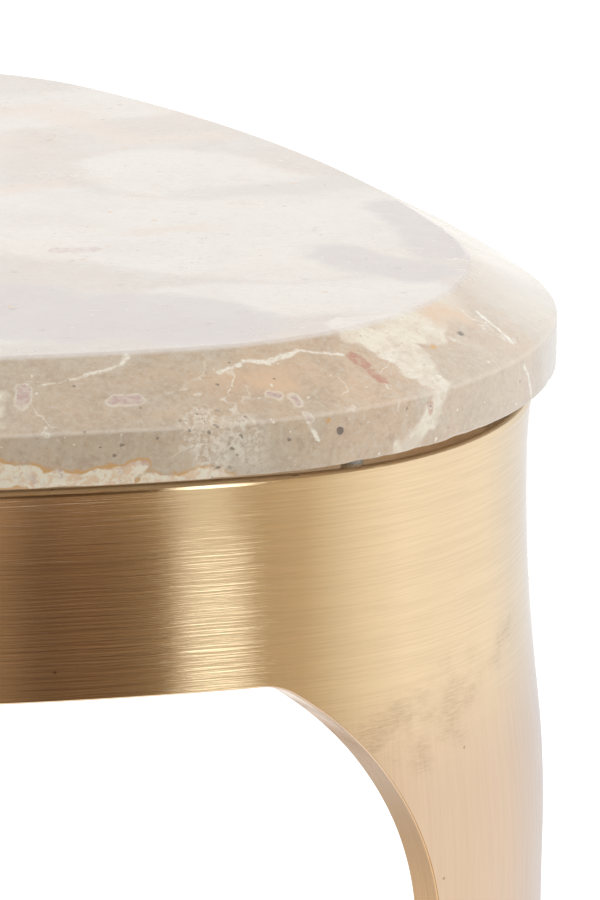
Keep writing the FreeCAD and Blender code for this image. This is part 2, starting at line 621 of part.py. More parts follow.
def make_glide_screws(corner):
    screws = []
    head, shank = "Sizes.glide_head_diameter / 2", "Sizes.glide_screw_diameter / 2"
    for hand, way in (("left", "-"), ("right", "")):
        screw = turned(f"glide_screw_{corner}_{hand}", (
            ("0", "0"), (head, "0"), (shank, "Sizes.glide_head_height"),
            (shank, "Sizes.glide_screw_length - Sizes.glide_screw_diameter"),
            ("0", "Sizes.glide_screw_length")))
        place(screw, CORNERS[corner], "Following.foot_middle", f"{way}Sizes.glide_screw_spread / 2",
              "Sizes.glide_head_depth")
        screws.append(screw)
    return group(f"glide_screws_{corner}", screws)


def check_and_write(nodes):
    doc.recompute()
    failed = [o.Label for o in doc.Objects if "Invalid" in o.State or "Error" in o.State]
    if failed:
        raise RuntimeError(f"failed: {failed}")
    for node in nodes:
        if node.Shape.isNull() or not node.Shape.isValid():
            raise RuntimeError(f"{node.Label} has no valid shape")
    os.makedirs("parts", exist_ok=True)
    for node in nodes:
        node.Shape.exportStep(os.path.join("parts", f"{node.Label}.step"))
        print(node.Label, len(node.Shape.Solids), round(node.Shape.Volume))


fill_sheets()
table = [make_stone_top()]
table += [make_leg_casting(corner) for corner in CORNERS]
table += [make_bracket(side) for side in SIDES]
table += [make_joint_screws(side) for side in SIDES]
table += make_top_fixings()
table.append(make_bumpers())
table += [make_glide(corner) for corner in CORNERS]
table += [make_glide_screws(corner) for corner in CORNERS]
check_and_write(table)
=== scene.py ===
import math

import bmesh
import bpy
import numpy as np
from bpy.props import FloatProperty, FloatVectorProperty, IntProperty, PointerProperty
from mathutils import Matrix, Vector


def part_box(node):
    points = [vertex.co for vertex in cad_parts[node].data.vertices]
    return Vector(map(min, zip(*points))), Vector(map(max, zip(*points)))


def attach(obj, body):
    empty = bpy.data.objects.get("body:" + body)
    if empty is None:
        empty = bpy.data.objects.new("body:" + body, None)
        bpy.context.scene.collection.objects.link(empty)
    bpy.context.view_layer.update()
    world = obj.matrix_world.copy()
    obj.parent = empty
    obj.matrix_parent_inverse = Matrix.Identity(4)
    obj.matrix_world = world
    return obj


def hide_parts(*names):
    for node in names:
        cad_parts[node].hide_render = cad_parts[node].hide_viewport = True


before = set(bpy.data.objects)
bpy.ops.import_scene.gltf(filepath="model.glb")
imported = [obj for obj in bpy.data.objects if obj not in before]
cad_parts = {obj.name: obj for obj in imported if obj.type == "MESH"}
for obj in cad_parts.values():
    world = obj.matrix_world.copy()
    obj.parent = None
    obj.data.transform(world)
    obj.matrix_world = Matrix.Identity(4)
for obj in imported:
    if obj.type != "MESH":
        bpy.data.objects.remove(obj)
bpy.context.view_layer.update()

bl_info = {
    "name": "Stone Side Table",
    "version": (1, 0, 0),
    "blender": (4, 5, 0),
    "location": "3D View > Sidebar > Side Table",
    "description": "Builds a side table's stone top, brushed brass castings and fixings",
    "category": "Object",
}

BODY = "root"
CORNERS = {"front_right": -30.0, "back": 90.0, "front_left": 210.0}
SIDES = {"front": -90.0, "right": 30.0, "left": 150.0}
SIXTH = math.pi / 3
ZERO = (0.0, 0.0, 0.0)
MIDDLE_GREY = (0.5, 0.5, 0.5)
# Painted shade laid over the stone's bevel and edge band towards the left.
EDGE_PAINTED_SHADE = (0.91, 0.89, 0.85)
# Painted shade laid over the arch's lower edge.
SOFFIT_PAINTED_SHADE = (0.90, 0.80, 0.64)
DOT_BROWN = (0.22, 0.15, 0.08)
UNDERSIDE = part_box("stone_top")[0].z
TOP_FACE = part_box("stone_top")[1].z
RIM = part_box("leg_casting_back")[1].z
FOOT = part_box("leg_casting_back")[0].z


def length(name, description, default):
    return FloatProperty(name=name, description=description, default=default, min=0.0, precision=5,
                         subtype="DISTANCE", unit="LENGTH")


def angle(name, description, degrees):
    return FloatProperty(name=name, description=description, default=math.radians(degrees), subtype="ANGLE")


def tint(name, description, colour):
    return FloatVectorProperty(name=name, description=description, default=colour, size=3, min=0.0, max=1.0,
                               subtype="COLOR")


def share(name, description, default):
    return FloatProperty(name=name, description=description, default=default, min=0.0, max=1.0,
                         subtype="FACTOR")


def level(name, description, default):
    return FloatProperty(name=name, description=description, default=default, min=0.0)


class StoneSizes(bpy.types.PropertyGroup):
    """Sizes of the stone slab."""
    side_reach: length("Side Reach", "Table axis to the middle of a side", 0.1912)
    side_radius: length("Side Radius", "Curve of a side", 0.516)
    corner_radius: length("Corner Radius", "Curve of a corner", 0.1245)
    bevel_run: length("Bevel Run", "Width of the bevel, seen from above", 0.027)
    bevel_drop: length("Bevel Drop", "Height of the bevel", 0.0148)
    arris: length("Arris", "Rounding of the edges", 0.0012)
    chip_depth: length("Chip Depth", "Largest chip out of the lower edge", 0.0011)
    socket_reach: length("Socket Reach", "Table axis to a sleeve's socket", 0.1405)
    socket_radius: length("Socket Radius", "Bore for a threaded sleeve", 0.0049)
    socket_depth: length("Socket Depth", "Depth of the bore", 0.012)
    columns: IntProperty(name="Columns", description="Faces round a third of the edge", default=372, min=24)


class CastingSizes(bpy.types.PropertyGroup):
    """Sizes of the three alike brass castings."""
    side_reach: length("Side Reach", "Table axis to the middle of an apron side", 0.1775)
    side_radius: length("Side Radius", "Curve of an apron side", 0.520)
    corner_radius: length("Corner Radius", "Curve of an apron corner", 0.0922)
    wall: length("Wall", "Thickness of the casting", 0.011)
    apron_height: length("Apron Height", "Rim to the apron's lower edge", 0.0616)
    lip_radius: length("Lip Radius", "Rounding of the rim", 0.002)
    lip_cove_radius: length("Lip Cove Radius", "Hollow curve below the rim", 0.190)
    waist_drop: length("Waist Drop", "Rim to the narrowest part", 0.022)
    cove_radius: length("Cove Radius", "Hollow curve below the waist", 0.625)
    knee_drop: length("Knee Drop", "Rim to where the leg drops straight", 0.137)
    knee_flare: length("Knee Flare", "Leg's reach beyond the waist", 0.0072)
    edge_angle: angle("Edge Angle", "Leg's middle to its edge at the knee", 18.7)
    taper: length("Taper", "How far each leg edge draws in", 0.011)
    arch_radius: length("Arch Radius", "Large curve of the arch", 0.110)
    arch_corner_radius: length("Arch Corner Radius", "Small curve at the apron", 0.014)
    arch_drop: length("Arch Drop", "Apron's edge to the arch's end", 0.086)
    edge_round: length("Edge Round", "Polished rounding of the arch's edges", 0.0006)
    seam_round: length("Seam Round", "Eased edge where two castings meet", 0.0003)
    seat_depth: length("Seat Depth", "Bracket seat, proud of the wall", 0.003)
    seat_length: length("Seat Length", "Bracket seat, from the seam", 0.040)
    seat_height: length("Seat Height", "Bracket seat", 0.046)
    seat_drop: length("Seat Drop", "Rim to the top of the seat", 0.002)


class FixingSizes(bpy.types.PropertyGroup):
    """Sizes of the screws under the table."""
    seat_reach: length("Seat Reach", "Table axis to the bracket's inner face", 0.1595)
    joint_inset: length("Joint Inset", "Seam to a bracket's screws", 0.022)
    joint_upper: length("Upper Joint Screws", "Rim to the upper screws", 0.020)
    joint_pitch: length("Joint Pitch", "Upper to lower screws", 0.017)
    joint_diameter: length("Joint Diameter", "Shank of a bracket screw", 0.005)
    joint_length: length("Joint Length", "Bracket screw below its head", 0.011)
    joint_head: length("Joint Head", "Head of a bracket screw", 0.0095)
    joint_head_height: length("Joint Head Height", "Head of a bracket screw", 0.0034)
    top_reach: length("Top Reach", "Table axis to the stone's screws", 0.1405)
    top_drop: length("Top Drop", "Rim to the stone screw's head", 0.0076)
    top_diameter: length("Top Diameter", "Shank of a stone screw", 0.006)
    top_length: length("Top Length", "Stone screw below its head", 0.020)
    top_head: length("Top Head", "Head of a stone screw", 0.011)
    top_head_height: length("Top Head Height", "Head of a stone screw", 0.0042)
    glide_spread: length("Glide Spread", "Between a glide's two screws", 0.022)
    glide_diameter: length("Glide Diameter", "Shank of a glide screw", 0.0035)
    glide_length: length("Glide Length", "Glide screw with its head", 0.016)
    glide_head: length("Glide Head", "Head of a glide screw", 0.0066)
    glide_head_height: length("Glide Head Height", "Head of a glide screw", 0.0018)
    glide_depth: length("Glide Depth", "Floor to a glide screw's head", 0.0008)


class StoneFinish(bpy.types.PropertyGroup):
    """Colours of the polished stone."""
    ground: tint("Ground", "Taupe body of the stone", (0.560, 0.455, 0.345))
    ground_warm: tint("Warm Ground", "Warmer clouds in the body", (0.610, 0.460, 0.330))
    ground_grey: tint("Grey Ground", "Cooler clouds in the body", (0.600, 0.535, 0.440))
    cream: tint("Cream", "Thick pale bands", (0.800, 0.735, 0.600))
    vein: tint("Vein", "Thin pale cracks and rims", (0.840, 0.790, 0.690))
    shade: tint("Shade", "Darker flecks in the body", (0.380, 0.285, 0.210))
    dusk: tint("Dusk", "Dusky patches in the top", (0.450, 0.360, 0.340))
    lilac: tint("Lilac", "Rimmed fragments", (0.540, 0.390, 0.360))
    peach: tint("Peach", "Broad stains", (0.720, 0.500, 0.330))
    green: tint("Green", "Faint grey-green stains", (0.520, 0.480, 0.370))
    red: tint("Red", "Red-brown fragments", (0.480, 0.235, 0.165))
    rust: tint("Rust", "Rust specks and seams", (0.640, 0.360, 0.130))
    pit: tint("Pit", "Dark pits", (0.130, 0.100, 0.085))
    # Painted reflection: a pale cast laid over the polished top face for the bright surroundings it mirrors.
    painted_top_reflection: tint("Painted Top Reflection", "Pale cast of the polished top face", (0.720, 0.685, 0.665))
    roughness: share("Roughness", "Polish of the stone", 0.22)


class BrassFinish(bpy.types.PropertyGroup):
    """Colours of the brushed brass."""
    brass: tint("Brass", "Clean brushed metal", (0.850, 0.665, 0.435))
    leg_brass: tint("Leg Brass", "Pinker metal on the legs", (0.735, 0.550, 0.395))
    patina: tint("Patina", "Aged smudges", (0.300, 0.195, 0.120))
    roughness: share("Roughness", "Spread of the shine", 0.10)
    grain: share("Grain", "How far the shine stretches across the brushing", 1.0)


class StageSettings(bpy.types.PropertyGroup):
    """Camera and studio."""
    lens: FloatProperty(name="Lens", description="Focal length in millimetres", default=180.0, min=1.0)
    pitch: angle("Pitch", "Camera's tilt below the horizon", 17.14)
    side: length("Side", "Camera to the right of the table's axis", 0.1435)
    back: length("Back", "Camera in front of the table's axis", 1.343)
    height: length("Height", "Camera above the floor", 0.858)
    sky: level("Sky", "Even light from all round", 0.50)
    overhead: level("Overhead", "Power of the overhead softbox in watts", 16.0)
    fill: level("Fill", "Power of the softbox in front in watts", 44.0)
    backlight: level("Backlight", "Power of the softbox behind in watts", 2.5)
    screen_radius: length("Screen Radius", "Table axis to the reflected screens", 0.75)
    screen_height: length("Screen Height", "Height of the reflected screens", 1.1)


GROUPS = {
    "stone_sizes": StoneSizes,
    "casting_sizes": CastingSizes,
    "fixing_sizes": FixingSizes,
    "stone_finish": StoneFinish,
    "brass_finish": BrassFinish,
    "stage_settings": StageSettings,
}


class TableSettings(bpy.types.PropertyGroup):
    """Everything about the table that a user would change."""
    __annotations__ = {name: PointerProperty(type=group) for name, group in GROUPS.items()}


def settings():
    return bpy.context.scene.side_table


class Plan:
    """A third of a rounded triangle about a corner at angle 0: a corner arc between two flatter arcs."""

    def __init__(self, sizes):
        self.side, self.corner = sizes.side_radius, sizes.corner_radius
        self.pull = self.side - sizes.side_reach
        between = self.side - self.corner
        self.centre = (math.sqrt(4 * between ** 2 - 3 * self.pull ** 2) - self.pull) / 2
        self.half = SIXTH - math.asin(self.centre * math.sin(SIXTH) / between)

    def points(self, turn, offset):
        """Places whose outward normal points at turn, moved out by offset."""
        turn, offset = np.broadcast_arrays(turn, offset)
        beyond = np.abs(turn) > self.half
        x = np.where(beyond, -self.pull * math.cos(SIXTH), self.centre)
        y = np.where(beyond, -np.sign(turn) * self.pull * math.sin(SIXTH), 0.0)
        radius = np.where(beyond, self.side, self.corner) + offset
        return np.stack([x + radius * np.cos(turn), y + radius * np.sin(turn)], -1)

    def run(self, turn, offset=0.0):
        """Signed length along the outline from the corner's middle."""
        inner = np.minimum(np.abs(turn), self.half) * (self.corner + offset)
        outer = np.maximum(np.abs(turn) - self.half, 0.0) * (self.side + offset)
        return np.sign(turn) * (inner + outer)

    def turn(self, run, offset=0.0):
        """The reverse of run."""
        knee = self.half * (self.corner + offset)
        inner = np.minimum(np.abs(run), knee) / (self.corner + offset)
        outer = np.maximum(np.abs(run) - knee, 0.0) / (self.side + offset)
        return np.sign(run) * (inner + outer)

    def turn_across(self, across, offset, lean):
        """Turn of the place that lies so far across from the corner's centre, square to a line at lean."""
        near = lean + np.arcsin(np.clip(across / (self.corner + offset), -1.0, 1.0))
        x = -self.pull * math.cos(SIXTH) - self.centre
        y = -self.pull * math.sin(SIXTH)
        start = -x * math.sin(lean) + y * math.cos(lean)
        far = lean + np.arcsin(np.clip((across - start) / (self.side + offset), -1.0, 1.0))
        return np.where(near <= self.half, near, far)


def table_axis():
    """Y of the table's own axis, a little in front of the middle of its box."""
    table = settings()
    casting = table.casting_sizes
    back = Plan(casting).centre + casting.corner_radius + casting.knee_flare
    return (table.stone_sizes.side_reach - back) / 2


def turned(points, degrees):
    """Points or directions turned about the upright axis."""
    a = math.radians(degrees)
    spin = np.array([[math.cos(a), -math.sin(a), 0], [math.sin(a), math.cos(a), 0], [0, 0, 1]])
    return np.asarray(points) @ spin.T


def placed(points, degrees):
    """Points about the table's axis, turned to one of its sides or corners."""
    return turned(points, degrees) + (0.0, table_axis(), 0.0)


def new_piece(name, mesh, material):
    piece = bpy.data.objects.new(name, mesh)
    mesh.materials.clear()
    mesh.materials.append(material)
    bpy.context.scene.collection.objects.link(piece)
    return piece


def seat_piece(piece, slot, *nodes):
    """A finished piece rides on the table and stands for its solids."""
    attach(piece, BODY)
    if nodes:
        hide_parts(*nodes)


class Nodes:
    """Adds nodes to a tree, feeding each input from a value or another node's output."""

    def __init__(self, tree):
        self.tree = tree
        tree.nodes.clear()

    def feed(self, socket, value):
        if isinstance(value, bpy.types.NodeSocket):
            self.tree.links.new(value, socket)
        elif socket.type == "RGBA":
            socket.default_value = (*tuple(value)[:3], 1.0)
        else:
            socket.default_value = value

    def add(self, kind, inputs=(), **looks):
        node = self.tree.nodes.new(kind)
        for name, value in looks.items():
            setattr(node, name, value)
        for key, value in dict(inputs).items():
            self.feed(node.inputs[key], value)
        return node

    def out(self, kind, inputs=(), **looks):
        """The first output of a new node."""
        return self.add(kind, inputs, **looks).outputs[0]

    def math(self, operation, first, second=0.0, clamp=False):
        return self.out("ShaderNodeMath", {0: first, 1: second}, operation=operation, use_clamp=clamp)

    def plus(self, first, second):
        return self.math("ADD", first, second)

    def less(self, first, second):
        return self.math("SUBTRACT", first, second)

    def times(self, first, second):
        return self.math("MULTIPLY", first, second)

    def most(self, first, second):
        return self.math("MAXIMUM", first, second)

    def vector(self, operation, first, second=ZERO):
        return self.out("ShaderNodeVectorMath", {0: first, 1: second}, operation=operation)

    def measure(self, operation, first, second=ZERO):
        return self.add("ShaderNodeVectorMath", {0: first, 1: second}, operation=operation).outputs["Value"]

    def scaled(self, vector, scale):
        return self.out("ShaderNodeVectorMath", {0: vector, "Scale": scale}, operation="SCALE")

    def stretched(self, vector, scale, turn=ZERO, move=ZERO):
        return self.out("ShaderNodeMapping", {"Vector": vector, "Scale": scale, "Rotation": turn,
                                              "Location": move})

    def noise(self, vector, scale, detail, roughness, output=0):
        return self.add("ShaderNodeTexNoise", {"Vector": vector, "Scale": scale, "Detail": detail,
                                               "Roughness": roughness}).outputs[output]

    def tinted_noise(self, vector, scale, detail, roughness):
        return self.noise(vector, scale, detail, roughness, "Color")

    def cells(self, vector, scale):
        return self.add("ShaderNodeTexVoronoi", {"Vector": vector, "Scale": scale})

    def ease(self, value, low, high, to_low=0.0, to_high=1.0):
        """Takes a value softly from one level to another, as 0 to 1 or as two other levels."""
        return self.out("ShaderNodeMapRange", {"Value": value, "From Min": low, "From Max": high,
                                               "To Min": to_low, "To Max": to_high},
                        interpolation_type="SMOOTHSTEP")

    def cloud(self, vector, scale, detail, roughness, low, high, to_low=0.0, to_high=1.0):
        """Noise, eased between two of its levels."""
        return self.ease(self.noise(vector, scale, detail, roughness), low, high, to_low, to_high)

    def picked(self, cells, channel, least):
        """1 in the few cells whose own random colour is above the least."""
        dice = self.add("ShaderNodeSeparateColor", {0: cells.outputs["Color"]}).outputs[channel]
        return self.math("GREATER_THAN", dice, least)

    def bump(self, strength, distance, height):
        return self.out("ShaderNodeBump", {"Strength": strength, "Distance": distance, "Height": height})

    def blend(self, amount, first, second, how="MIX"):
        node = self.add("ShaderNodeMix", data_type="RGBA", blend_type=how)
        sockets = {s.identifier: s for s in node.inputs}
        for name, value in (("Factor_Float", amount), ("A_Color", first), ("B_Color", second)):
            self.feed(sockets[name], value)
        return next(s for s in node.outputs if s.identifier == "Result_Color")

    def ramp(self, value, stops):
        node = self.add("ShaderNodeValToRGB", {0: value})
        marks = node.color_ramp.elements
        while len(marks) < len(stops):
            marks.new(0.5)
        for mark, (place, colour) in zip(marks, stops):
            mark.position = place
            mark.color = (*colour, 1.0)
        return node.outputs[0]


def new_finish(name):
    """An empty material and the hand that builds its nodes."""
    material = bpy.data.materials.new(name)
    material.use_nodes = True
    return material, Nodes(material.node_tree)


def surface(n, **inputs):
    """The finish's shader, with inputs named as on its sockets but with underscores."""
    named = {name.replace("_", " "): value for name, value in inputs.items()}
    n.add("ShaderNodeOutputMaterial", {"Surface": n.out("ShaderNodeBsdfPrincipled", named)})


def line_distance():
    """Node group: how far a place lies outside a thick line, or outside the one before if that is nearer."""
    group = bpy.data.node_groups.new("distance_to_line", "ShaderNodeTree")
    for name, kind in (("Place", "Vector"), ("Start", "Vector"), ("End", "Vector"), ("Width", "Float"),
                       ("Before", "Float")):
        group.interface.new_socket(name, in_out="INPUT", socket_type=f"NodeSocket{kind}")
    group.interface.new_socket("Distance", in_out="OUTPUT", socket_type="NodeSocketFloat")
    n = Nodes(group)
    place, start, end, width, before = n.add("NodeGroupInput").outputs[:5]
    along = n.vector("SUBTRACT", end, start)
    away = n.vector("SUBTRACT", place, start)
    part = n.math("DIVIDE", n.measure("DOT_PRODUCT", away, along), n.measure("DOT_PRODUCT", along, along),
                  clamp=True)
    gap = n.measure("LENGTH", n.vector("SUBTRACT", away, n.scaled(along, part)))
    n.add("NodeGroupOutput", {0: n.math("MINIMUM", before, n.less(gap, width))})
    return group


def outside(n, group, lines, where):
    """Distance outside the nearest of some thick lines, less than 0 within them."""
    field = 1.0
    for start, end, width in lines:
        node = n.add("ShaderNodeGroup", node_tree=group)
        for socket, value in zip(node.inputs, (where, start, end, width, field)):
            n.feed(socket, value)
        field = node.outputs[0]
    return field


# Thick lines in the stone, placed as in the photographed corner: start, end and half width.
CREAM_BODY = (
    ((0.1600, -0.1510, 0.5190), (0.1774, -0.1397, 0.5169), 0.0080),
    ((0.1690, -0.1530, 0.5155), (0.1760, -0.1580, 0.5110), 0.0075),
    ((0.1760, -0.1580, 0.5110), (0.1812, -0.1620, 0.5070), 0.0046),
    ((0.1830, -0.1640, 0.5060), (0.1816, -0.1671, 0.5000), 0.0031),
    ((0.1816, -0.1671, 0.5000), (0.1712, -0.1761, 0.4906), 0.0032),
    ((0.0610, -0.1960, 0.5120), (0.0622, -0.2060, 0.5065), 0.0026),
)
PALE_CLOUDS = (
    ((0.1150, -0.1250, 0.5200), (0.1720, -0.1200, 0.5200), 0.0180),
    ((0.0600, -0.0300, 0.5200), (0.1400, -0.0650, 0.5200), 0.0400),
    ((0.1000, 0.0350, 0.5200), (0.1700, -0.0350, 0.5200), 0.0280),
    ((0.0250, 0.1050, 0.5200), (0.0850, 0.1350, 0.5200), 0.0240),
    ((0.0560, -0.1660, 0.5200), (0.0730, -0.1640, 0.5200), 0.0060),
)
LOWER_BAND = (
    ((0.0400, -0.2120, 0.4938), (0.0700, -0.2090, 0.4938), 0.0036),
    ((0.0700, -0.2090, 0.4926), (0.1000, -0.2039, 0.4918), 0.0034),
    ((0.1030, -0.2034, 0.4896), (0.1290, -0.1976, 0.4904), 0.0020),
)
PALE_LINES = (
    ((0.1216, -0.1815, 0.5146), (0.1278, -0.1758, 0.5167), 0.00061),
    ((0.1278, -0.1758, 0.5167), (0.1347, -0.1749, 0.5158), 0.00088),
    ((0.1347, -0.1749, 0.5158), (0.1429, -0.1680, 0.5173), 0.00094),
    ((0.1429, -0.1680, 0.5173), (0.1560, -0.1650, 0.5150), 0.00044),
    ((0.1944, -0.1179, 0.5147), (0.2025, -0.1247, 0.5092), 0.00065),
    ((0.2025, -0.1247, 0.5092), (0.2077, -0.1307, 0.5023), 0.00090),
    ((0.2077, -0.1300, 0.5023), (0.2102, -0.1252, 0.4905), 0.00065),
    ((0.0715, -0.1925, 0.5145), (0.0809, -0.1890, 0.5151), 0.00022),
    ((0.0809, -0.1890, 0.5151), (0.0950, -0.1830, 0.5175), 0.00044),
    ((0.0950, -0.1830, 0.5175), (0.0963, -0.1786, 0.5192), 0.00066),
    ((0.1460, -0.1911, 0.5035), (0.1484, -0.1900, 0.4983), 0.00055),
)
FRAGMENTS = (
    ((0.0682, -0.1935, 0.5138), (0.0686, -0.1980, 0.5112), 0.0023),
    ((0.0930, -0.1950, 0.5108), (0.0990, -0.1935, 0.5112), 0.0020),
    ((0.1352, -0.1856, 0.5103), (0.1378, -0.1858, 0.5096), 0.0014),
    ((0.1418, -0.1852, 0.5090), (0.1432, -0.1868, 0.5080), 0.0013),
    ((0.1452, -0.1908, 0.5068), (0.1462, -0.1911, 0.5045), 0.0011),
)
RED_FRAGMENTS = (
    ((0.1586, -0.1643, 0.5145), (0.1612, -0.1656, 0.5131), 0.0020),
    ((0.1636, -0.1676, 0.5114), (0.1662, -0.1702, 0.5094), 0.0016),
    ((0.1795, -0.1685, 0.5020), (0.1797, -0.1687, 0.5000), 0.0011),
    ((0.0715, -0.0680, 0.5200), (0.0815, -0.0670, 0.5200), 0.0032),
)
DUSKY_PATCHES = (
    ((0.0950, -0.1400, 0.5200), (0.1160, -0.1480, 0.5200), 0.0230),
    ((0.0600, -0.1250, 0.5200), (0.0750, -0.1500, 0.5200), 0.0200),
    ((0.1560, -0.0720, 0.5200), (0.1780, -0.0950, 0.5200), 0.0110),
    ((0.1720, -0.0140, 0.5200), (0.1880, -0.0700, 0.5200), 0.0090),
)
PEACH_STREAKS = (
    ((0.0380, 0.1120, 0.5200), (0.0580, 0.1260, 0.5200), 0.0060),
    ((0.0600, 0.1180, 0.5200), (0.0880, 0.0740, 0.5200), 0.0060),
    ((0.0880, 0.0740, 0.5200), (0.1150, 0.0800, 0.5200), 0.0045),
    ((0.0480, 0.0060, 0.5200), (0.0650, 0.0140, 0.5200), 0.0050),
    ((0.0970, -0.0450, 0.5200), (0.1160, -0.0410, 0.5200), 0.0030),
    ((0.1800, -0.1320, 0.5180), (0.1880, -0.1280, 0.5165), 0.0045),
    ((0.1260, -0.1830, 0.5125), (0.1400, -0.1790, 0.5125), 0.0045),
)
GREEN_STREAKS = (
    ((0.1100, 0.0020, 0.5200), (0.1570, 0.0150, 0.5200), 0.0090),
)
SPECKLED = (
    ((0.1180, -0.1985, 0.5055), (0.1195, -0.1997, 0.4945), 0.0060),
    ((0.1270, -0.1975, 0.5010), (0.1310, -0.1965, 0.4990), 0.0050),
)


def stone_material():
    """Polished brecciated marble, patterned in depth so that the top, bevel and edge agree."""
    # The numbers of a cloud are its noise's scale, detail and roughness, the levels that it lies between, and
    # what these become.
    finish = settings().stone_finish
    material, n = new_finish("polished_breccia")
    place = n.add("ShaderNodeTexCoord").outputs["Object"]
    group = line_distance()

    def wavering(scale, reach):
        drift = n.tinted_noise(place, scale, 3.0, 0.6)
        red, green, blue = n.add("ShaderNodeSeparateColor", {0: drift}).outputs
        drift = n.out("ShaderNodeCombineXYZ", {0: red, 1: green, 2: blue})
        return n.scaled(n.vector("SUBTRACT", drift, MIDDLE_GREY), reach)

    swirl = n.vector("ADD", place, wavering(16.0, 0.034))
    ragged = n.vector("ADD", swirl, wavering(85.0, 0.007))
    loose = n.vector("ADD", place, n.vector("ADD", wavering(42.0, 0.016), wavering(190.0, 0.0035)))
    tight = n.vector("ADD", place, n.vector("ADD", wavering(130.0, 0.0034), wavering(520.0, 0.0012)))

    def near(lines, where, blur):
        """1 within the placed lines, 0 outside, and between the two over twice the blur."""
        return n.ease(outside(n, group, lines, where), blur, -blur)

    def shifted(move):
        return n.vector("ADD", ragged, move)

    def spots(cells, rim, core):
        """1 at the middle of each cell, 0 from the rim on."""
        return n.ease(cells.outputs["Distance"], rim, core)

    def lay(amount, coat, how="MIX"):
        """Adds a coat to the colour so far."""
        nonlocal colour
        colour = n.blend(amount, colour, coat, how)

    east, back, height = n.add("ShaderNodeSeparateXYZ", {0: place}).outputs
    face = n.ease(height, TOP_FACE - 0.0011, TOP_FACE - 0.0002)
    edge = n.less(1.0, face)
    elsewhere = n.ease(east, 0.055, 0.025)

    # The ground and its broad stains.
    colour = finish.ground
    lay(n.cloud(swirl, 15.0, 6.0, 0.62, 0.40, 0.64), finish.ground_warm)
    lay(n.cloud(ragged, 24.0, 7.0, 0.66, 0.47, 0.66), finish.ground_grey)
    mottle = n.noise(tight, 130.0, 6.0, 0.7)
    lay(n.ease(mottle, 0.33, 0.62, 0.34, 0.0), finish.shade)
    grains = n.noise(place, 560.0, 4.0, 0.75)
    lay(n.ease(grains, 0.50, 0.64, 0.0, 0.60), finish.ground_grey)
    lay(n.ease(grains, 0.46, 0.34, 0.0, 0.38), finish.shade)
    stain = n.most(near(PEACH_STREAKS, loose, 0.0055),
                   n.cloud(shifted((3.1, 1.7, 0.4)), 9.0, 4.0, 0.6, 0.60, 0.72, 0.0, 0.75))
    dusky = n.most(n.times(near(DUSKY_PATCHES, loose, 0.0034), face),
                   n.times(elsewhere, n.cloud(shifted((6.1, 0.7, 3.4)), 8.0, 5.0, 0.6, 0.60, 0.66)))
    dusky = n.times(dusky, n.ease(mottle, 0.36, 0.66, 0.88, 0.62))
    green = n.most(near(GREEN_STREAKS, loose, 0.0045),
                   n.cloud(shifted((7.3, 2.2, 5.0)), 6.0, 3.0, 0.5, 0.64, 0.74, 0.0, 0.7))

    # Pale bodies and clouds.
    pale_cloud = n.times(n.cloud(shifted((1.3, 4.9, 2.8)), 7.0, 6.0, 0.58, 0.49, 0.58, 0.0, 0.7), elsewhere)
    cloudy = n.times(near(PALE_CLOUDS, loose, 0.0050),
                     n.cloud(ragged, 30.0, 5.0, 0.65, 0.25, 0.60, 0.30, 0.72))
    body = n.times(near(CREAM_BODY, loose, 0.0010), n.ease(mottle, 0.38, 0.58, 0.92, 0.55))
    cream = n.most(body, n.most(cloudy, pale_cloud))
    creamy = n.blend(n.cloud(ragged, 40.0, 6.0, 0.66, 0.38, 0.66), finish.cream, finish.vein)
    creamy = n.blend(n.ease(mottle, 0.50, 0.66, 0.0, 0.55), creamy, finish.ground_grey)
    creamy = n.blend(n.ease(grains, 0.46, 0.34, 0.0, 0.45), creamy, finish.ground_warm)
    lay(cream, creamy)
    lay(dusky, finish.dusk)
    lay(n.times(stain, n.ease(mottle, 0.38, 0.62, 0.50, 0.95)), finish.peach)
    lay(n.times(green, 0.8), finish.green)

    # Thin cracks, healed with pale stone.
    seam = n.noise(n.stretched(swirl, (1.0, 1.0, 1.4), move=(2.0, 5.0, 1.0)), 26.0, 4.0, 0.6)
    fine_seam = n.ease(n.math("ABSOLUTE", n.less(seam, 0.5)), 0.010, 0.003)
    fine_seam = n.times(fine_seam, n.cloud(place, 30.0, 3.0, 0.6, 0.55, 0.64))
    vein = n.most(near(PALE_LINES, tight, 0.0004), n.times(fine_seam, 0.6))
    grit = n.cloud(tight, 700.0, 4.0, 0.75, 0.36, 0.54, 0.40, 1.0)
    lay(n.times(vein, grit), finish.vein)

    # Fragments with pale rims.
    stones = n.cells(ragged, 62.0)
    lone = n.times(n.picked(stones, 0, 0.965), n.times(edge, 0.55))
    apart = outside(n, group, FRAGMENTS, tight)
    ring = n.most(n.ease(apart, 0.0008, -0.0001, 0.0, 0.50), n.times(spots(stones, 0.42, 0.36), lone))
    core = n.most(n.ease(apart, -0.0001, -0.0006), n.times(spots(stones, 0.33, 0.29), lone))
    lay(n.times(ring, grit), finish.vein)
    patchy = n.cloud(tight, 420.0, 4.0, 0.65, 0.40, 0.62, 1.0, 0.35)
    lay(n.times(core, patchy), finish.lilac)
    lay(n.times(near(RED_FRAGMENTS, tight, 0.0004), n.times(patchy, 0.8)), finish.red)

